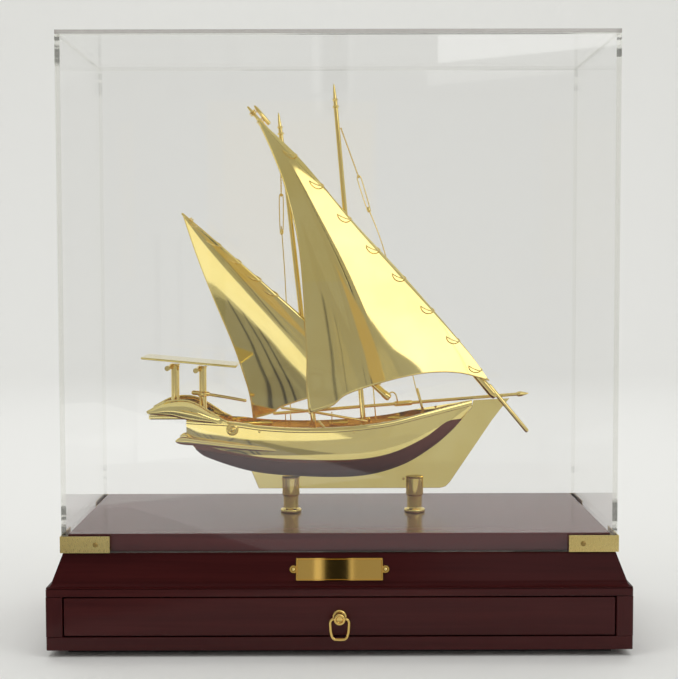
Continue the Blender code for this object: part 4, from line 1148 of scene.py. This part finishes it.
def make_sail(name, node, luff, leech, foot, luff_y, clew_y, belly, ring_heights):
    """A thin bellied sheet with a rolled hem, laced to its yard with wire rings."""
    peak, clew = luff[-1][0], foot[0][1]

    def surface(x, z, proud=0.0):
        left, right = along(leech, z), along(luff, z)
        across = (x - left) / max(right - left, 1e-6)
        leech_y = luff_y + (clew_y - luff_y) * (peak - z) / (peak - clew)
        depth = belly * (right - left) * math.sin(math.pi * min(max(across, 0.0), 1.0))
        return Vector((x, leech_y + (luff_y - leech_y) * across - depth - proud, z))

    tack = foot[-1][1]
    luff_line = smooth_line([(x, 0, z) for z, x in reversed(luff) if z >= tack - 1e-6], 8)
    leech_line = smooth_line([(x, 0, z) for z, x in reversed(leech)], 8)
    foot_line = smooth_line([(x, 0, z) for x, z in foot], 8)
    ends = [polyline_at(leech_line, row / LEECH_ROWS) for row in range(LEECH_ROWS)]
    ends += [polyline_at(foot_line, row / FOOT_ROWS) for row in range(FOOT_ROWS + 1)]
    shape = bmesh.new()
    grid = []
    for row, end in enumerate(ends):
        start = polyline_at(luff_line, row / (len(ends) - 1))
        places = [start.lerp(end, column / SAIL_COLUMNS) for column in range(SAIL_COLUMNS + 1)]
        if row in (0, len(ends) - 1):
            places = [start]
        grid.append([shape.verts.new(surface(place.x, place.z)) for place in places])
    for first, second in zip(grid, grid[1:]):
        for i in range(SAIL_COLUMNS):
            corners = [first[min(i, len(first) - 1)], first[min(i + 1, len(first) - 1)],
                       second[min(i + 1, len(second) - 1)], second[min(i, len(second) - 1)]]
            corners = [c for k, c in enumerate(corners) if c not in corners[:k]]
            shape.faces.new(corners)
    made = base_piece(name, shape, 80, GOLD, node)
    sheet = made.modifiers.new("sheet", "SOLIDIFY")
    sheet.thickness, sheet.offset = SAIL_THICKNESS, 0

    hem = bmesh.new()
    for line in (leech_line, foot_line):
        tube(hem, [surface(point.x, point.z) for point in line], 0.00058, 10)
    base_piece(f"{name}_hem", hem, 50, ROD_GOLD)

    laced = bmesh.new()
    long = Vector((0.93, 0.0, -0.37))
    for height in ring_heights:
        reach = min(0.0062, 0.42 * (along(luff, height) - along(leech, height)))
        centre = Vector((along(luff, height) - 0.80 * reach, luff_y - 0.0012, height + 0.3 * reach))
        deep = Vector((0, 0.0050, 0.0015)) * min(1.0, reach / 0.004)
        loop = [centre + long * reach * math.cos(t) + deep * math.sin(t) for t in full_turn(36)]
        tube(laced, loop, 0.00042, 8, closed=True)
    base_piece(f"{name}_rings", laced, 35, ROD_GOLD)


def make_sails():
    make_sail("main_sail_sheet", "main_sail", MAIN_LUFF, MAIN_LEECH, MAIN_FOOT, -0.0096, -0.0212, 0.12, MAIN_RINGS)
    make_sail("mizzen_sail_sheet", "mizzen_sail", MIZZEN_LUFF, MIZZEN_LEECH, MIZZEN_FOOT, -0.0093, 0.0060, 0.06,
              MIZZEN_RINGS)


# ---------------------------------------------------------------- ship: stern

WING_TOP = [(-0.1471, 0.1678), (-0.1392, 0.1722), (-0.1332, 0.1750), (-0.1259, 0.1763), (-0.1167, 0.1761),
            (-0.1085, 0.1733), (-0.0982, 0.1671), (-0.0921, 0.1630), (-0.0860, 0.1600)]
WING_FOOT = [(-0.1471, 0.1662), (-0.1400, 0.1654), (-0.1342, 0.1650), (-0.1270, 0.1642), (-0.1180, 0.1620),
             (-0.1085, 0.1604), (-0.0985, 0.1592), (-0.0920, 0.1585), (-0.0860, 0.1584)]
WING_Y, WING_BULGE = 0.0193, 0.0032


def make_stern():
    """The stern deck and its wings, the canopy on two posts with cross bars, and the rail."""
    deck_low, deck_high = 0.1618, 0.1650
    shape = bmesh.new()
    plate(shape, rounded(rectangle(0.0230, WING_Y), 0.003), deck_high - deck_low, 0.0003,
          Matrix.Translation((-0.1235, 0, (deck_low + deck_high) / 2)))
    top_line = smooth_line([Vector((x, 0, z)) for x, z in WING_TOP], 5)
    foot_line = smooth_line([Vector((x, 0, z)) for x, z in WING_FOOT], 5)
    across = 14
    thickness = 0.0010
    shares = stations(0.0, 1.0, len(top_line))
    swells = [math.sin(math.pi * min(share * 1.12, 1.0)) ** 0.6 if share < 0.9 else 0.0 for share in shares]
    for side in (-1, 1):
        rings = []
        for swell, top, foot in zip(swells, top_line, foot_line):
            outer, inner = [], []
            for k in range(across + 1):
                t = k / across
                middle = foot.lerp(top, t)
                bulge = WING_BULGE * swell * math.sin(math.pi * (0.15 + 0.85 * t)) ** 0.8
                y = WING_Y + bulge - 0.0016 * swell * t**3
                outer.append(Vector((middle.x, side * (y + thickness / 2), middle.z)))
                inner.append(Vector((middle.x, side * (y - thickness / 2), middle.z)))
            rings.append(outer + inner[::-1])
        loft(shape, rings)
        rim = [Vector((top.x, side * (WING_Y - 0.0016 * swell), top.z)) for swell, top in zip(swells, top_line)]
        tube(shape, rim, 0.0008, 10)
    base_piece("stern_gallery_wings", shape, 45, GOLD, "stern_gallery")

    low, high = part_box("poop_canopy")
    fall = math.atan2(0.0069, 0.0749)
    centre = (low + high) / 2
    outline = rounded(rectangle(0.0368, 0.0200), 0.0015)
    where = Matrix.Translation(centre) @ Matrix.Rotation(fall, 4, "Y")
    canopy = plate_mesh(outline, 0.0018, 0.0005, where, 3)
    keep_faces_flat(piece("poop_canopy_plate", canopy, "base", GOLD, "poop_canopy"))

    for node, x, radius in (("poop_post_aft", -0.1278, 0.0032), ("poop_post_fore", -0.1063, 0.0029)):
        low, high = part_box(node)
        foot, top = low.z, high.z
        shape = bmesh.new()
        tall = top - foot
        profile = [(0, tall), (radius + 0.0002, tall), (radius + 0.0005, tall - 0.0003),
                   (radius + 0.0005, tall - 0.0012), (radius, tall - 0.0018), (radius, 0.0034),
                   (radius + 0.0006, 0.0026), (radius + 0.0009, 0.0018), (radius + 0.0009, 0.0006),
                   (radius + 0.0006, 0), (0, 0)]
        lathe(shape, profile, 40, Matrix.Translation((x, 0, foot)))
        bar = x - radius - 0.0008
        tube(shape, [(bar, -0.0176, top - 0.0026), (bar, 0.0176, top - 0.0026)], 0.0020, 20, end="flat")
        if "fore" in node:
            for height in (0.1785, 0.1812):
                collar(shape, (x, 0, height), (0, 0, 1), radius + 0.0003, 0.0007, 32)
            tube(shape, [(x - 0.0072, -0.0010, 0.1808), (x + 0.004, 0.0, 0.1797)], 0.0018, 20)
        base_piece(f"{node}_turned", shape, 35, ROD_GOLD, node)
    line = smooth_line([(-0.1028, 0, 0.1795), (-0.0880, -0.0012, 0.1772), (-0.0730, -0.0040, 0.1748)], 6)
    piece("poop_rail_rod", tube_mesh(line, 0.0012, 16), "base", ROD_GOLD, "poop_rail")


# ---------------------------------------------------------------- studio


def plain(name, colour, strength=None):
    """A plain stage material: diffuse, or light of its own where a strength is given."""
    if strength is None:
        return Recipe(name, colour, 0.9, **{"Specular IOR Level": 0.1}).material
    glow = {"Specular IOR Level": 0.0, "Emission Color": (*colour, 1.0), "Emission Strength": strength}
    return Recipe(name, (0, 0, 0), 0.9, **glow).material


def staged(name, mesh, look):
    made = placed(name, mesh)
    mesh.materials.append(look)
    return made


def make_sweep():
    """A pale round floor that curves up into a wall all round, so that every view has the same backdrop."""
    floor_reach, bend, wall = 2.3, 1.1, 4.2
    profile = [(0.0, 0.0), (floor_reach, 0.0)]
    for turn in quarter_turn(16)[1:]:
        profile.append((floor_reach + bend * math.sin(turn), bend - bend * math.cos(turn)))
    profile.append((floor_reach + bend, wall))
    shape = bmesh.new()
    lathe(shape, profile, 96)
    mesh = as_mesh(shape, "sweep")
    mesh.shade_smooth()
    staged("sweep", mesh, plain("sweep_paper", (0.80, 0.80, 0.785)))


def card(name, azimuth, distance, middle, size, strength, colour=(1.0, 1.0, 1.0), left_rise=1.0):
    """A flat card that faces the case and that only reflections see. Azimuth is from the front towards the right.
    left_rise is the height of its left end as a share of the right one's."""
    turn = math.radians(azimuth)
    centre = Vector((distance * math.sin(turn), -distance * math.cos(turn), middle))
    right = Vector((math.cos(turn), math.sin(turn), 0)) * size[0] / 2
    up = Vector((0, 0, size[1] / 2))
    shape = bmesh.new()
    corners = ((-1, -1), (1, -1), (1, 1), (-1, 2 * left_rise - 1))
    shape.faces.new([shape.verts.new(centre + a * right + b * up) for a, b in corners])
    only_reflected(name, shape, colour, strength)


def only_reflected(name, shape, colour, strength):
    """Stages a shape that glows in reflections and lights nothing."""
    mesh = as_mesh(shape, name)
    made = staged(name, mesh, plain(name, colour, strength))
    mesh.materials[0].cycles.emission_sampling = "NONE"
    made.visible_camera = made.visible_diffuse = made.visible_shadow = False
    made.visible_transmission = made.visible_volume_scatter = False


def on_floor(name, azimuth, distance, size, strength, height):
    """A card that lies on the floor, as wide and as deep as its size, with its middle at a distance."""
    turn = Matrix.Rotation(math.radians(azimuth), 4, "Z")
    where = turn @ Matrix.Translation((0, -distance, height)) @ Matrix.Diagonal((size[0] / 2, size[1] / 2, 1, 1))
    shape = bmesh.new()
    bmesh.ops.create_grid(shape, x_segments=1, y_segments=1, size=1.0, matrix=where)
    only_reflected(name, shape, (1.0, 1.0, 1.0), strength)


def area_light(name, place, target, size, power):
    light = bpy.data.lights.new(name, "AREA")
    light.shape = "RECTANGLE"
    light.size, light.size_y = size
    light.energy = power
    made = placed(name, light)
    direction = Vector(target) - Vector(place)
    made.matrix_world = Matrix.Translation(place) @ direction.to_track_quat("-Z", "Y").to_matrix().to_4x4()
    made.visible_glossy = False


LIGHT_TOP, LIGHT_SIDE, LIGHT_BACK, SKY = 17, 7, 24, 0.66


def make_studio():
    make_sweep()
    card("card_grey", 0, 1.90, 1.10, (3.4, 2.2), 0.38)
    card("card_grey_left", -62, 1.95, 1.10, (1.9, 2.2), 0.38)
    card("softbox_right", 33.5, 1.70, 1.35, (2.22, 1.30), 2.0, left_rise=0.15)
    card("card_warm", -3, 1.64, 0.42, (0.32, 0.34), 0.52, (1.0, 0.80, 0.45))
    card("flag", -0.14, 1.60, 0.72, (0.046, 0.24), 0.02)
    card("flag_edge_left", -1.45, 1.60, 0.72, (0.014, 0.24), 0.8)
    card("flag_edge_right", 0.95, 1.60, 0.72, (0.006, 0.24), 0.7)
    for number, (azimuth, width) in enumerate(((-29, 0.030), (-24, 0.010), (-12, 0.012), (-8, 0.026))):
        card(f"streak_{number}", azimuth, 1.60, 0.20, (width, 0.28), 0.12)
    on_floor("floor_grey", 0, 1.30, (4.0, 2.0), 0.52, 0.002)
    on_floor("floor_bright", -30, 1.25, (0.95, 1.10), 1.15, 0.004)
    on_floor("floor_shade", -36, 0.46, (0.36, 0.40), 0.26, 0.005)
    for number, azimuth in enumerate((-42, -36, -31)):
        on_floor(f"floor_streak_{number}", azimuth, 0.47, (0.012, 0.42), 0.04, 0.006)
    area_light("light_top", (0.0, 0.1, 2.6), (0, 0, 0.2), (2.4, 2.4), LIGHT_TOP)
    area_light("light_left", (-1.7, -1.0, 1.6), (0, 0, 0.2), (1.2, 1.2), LIGHT_SIDE)
    area_light("light_right", (1.7, -1.0, 1.6), (0, 0, 0.2), (1.2, 1.2), LIGHT_SIDE)
    area_light("light_backdrop", (0.0, 0.9, 2.7), (0, 3.3, 0.6), (2.4, 0.8), LIGHT_BACK)
    world = bpy.data.worlds.new("studio")
    world.use_nodes = True
    background = world.node_tree.nodes["Background"]
    background.inputs["Color"].default_value = (1.0, 1.0, 0.98, 1.0)
    background.inputs["Strength"].default_value = SKY
    bpy.context.scene.world = world
    bpy.context.scene.view_settings.view_transform = "Standard"


# ---------------------------------------------------------------- build

make_camera()
make_boards()
make_drawer_lining()
make_coves()
make_nameplate()
make_pull()
make_cover()
make_brackets()
make_hull()
make_hull_dress()
make_strakes()
make_bosses()
make_ship_deck()
make_keel_plate()
make_stand_posts()
make_masts()
make_yards()
make_bowsprit()
make_stays()
make_small_rigging()
make_sails()
make_stern()
make_studio()
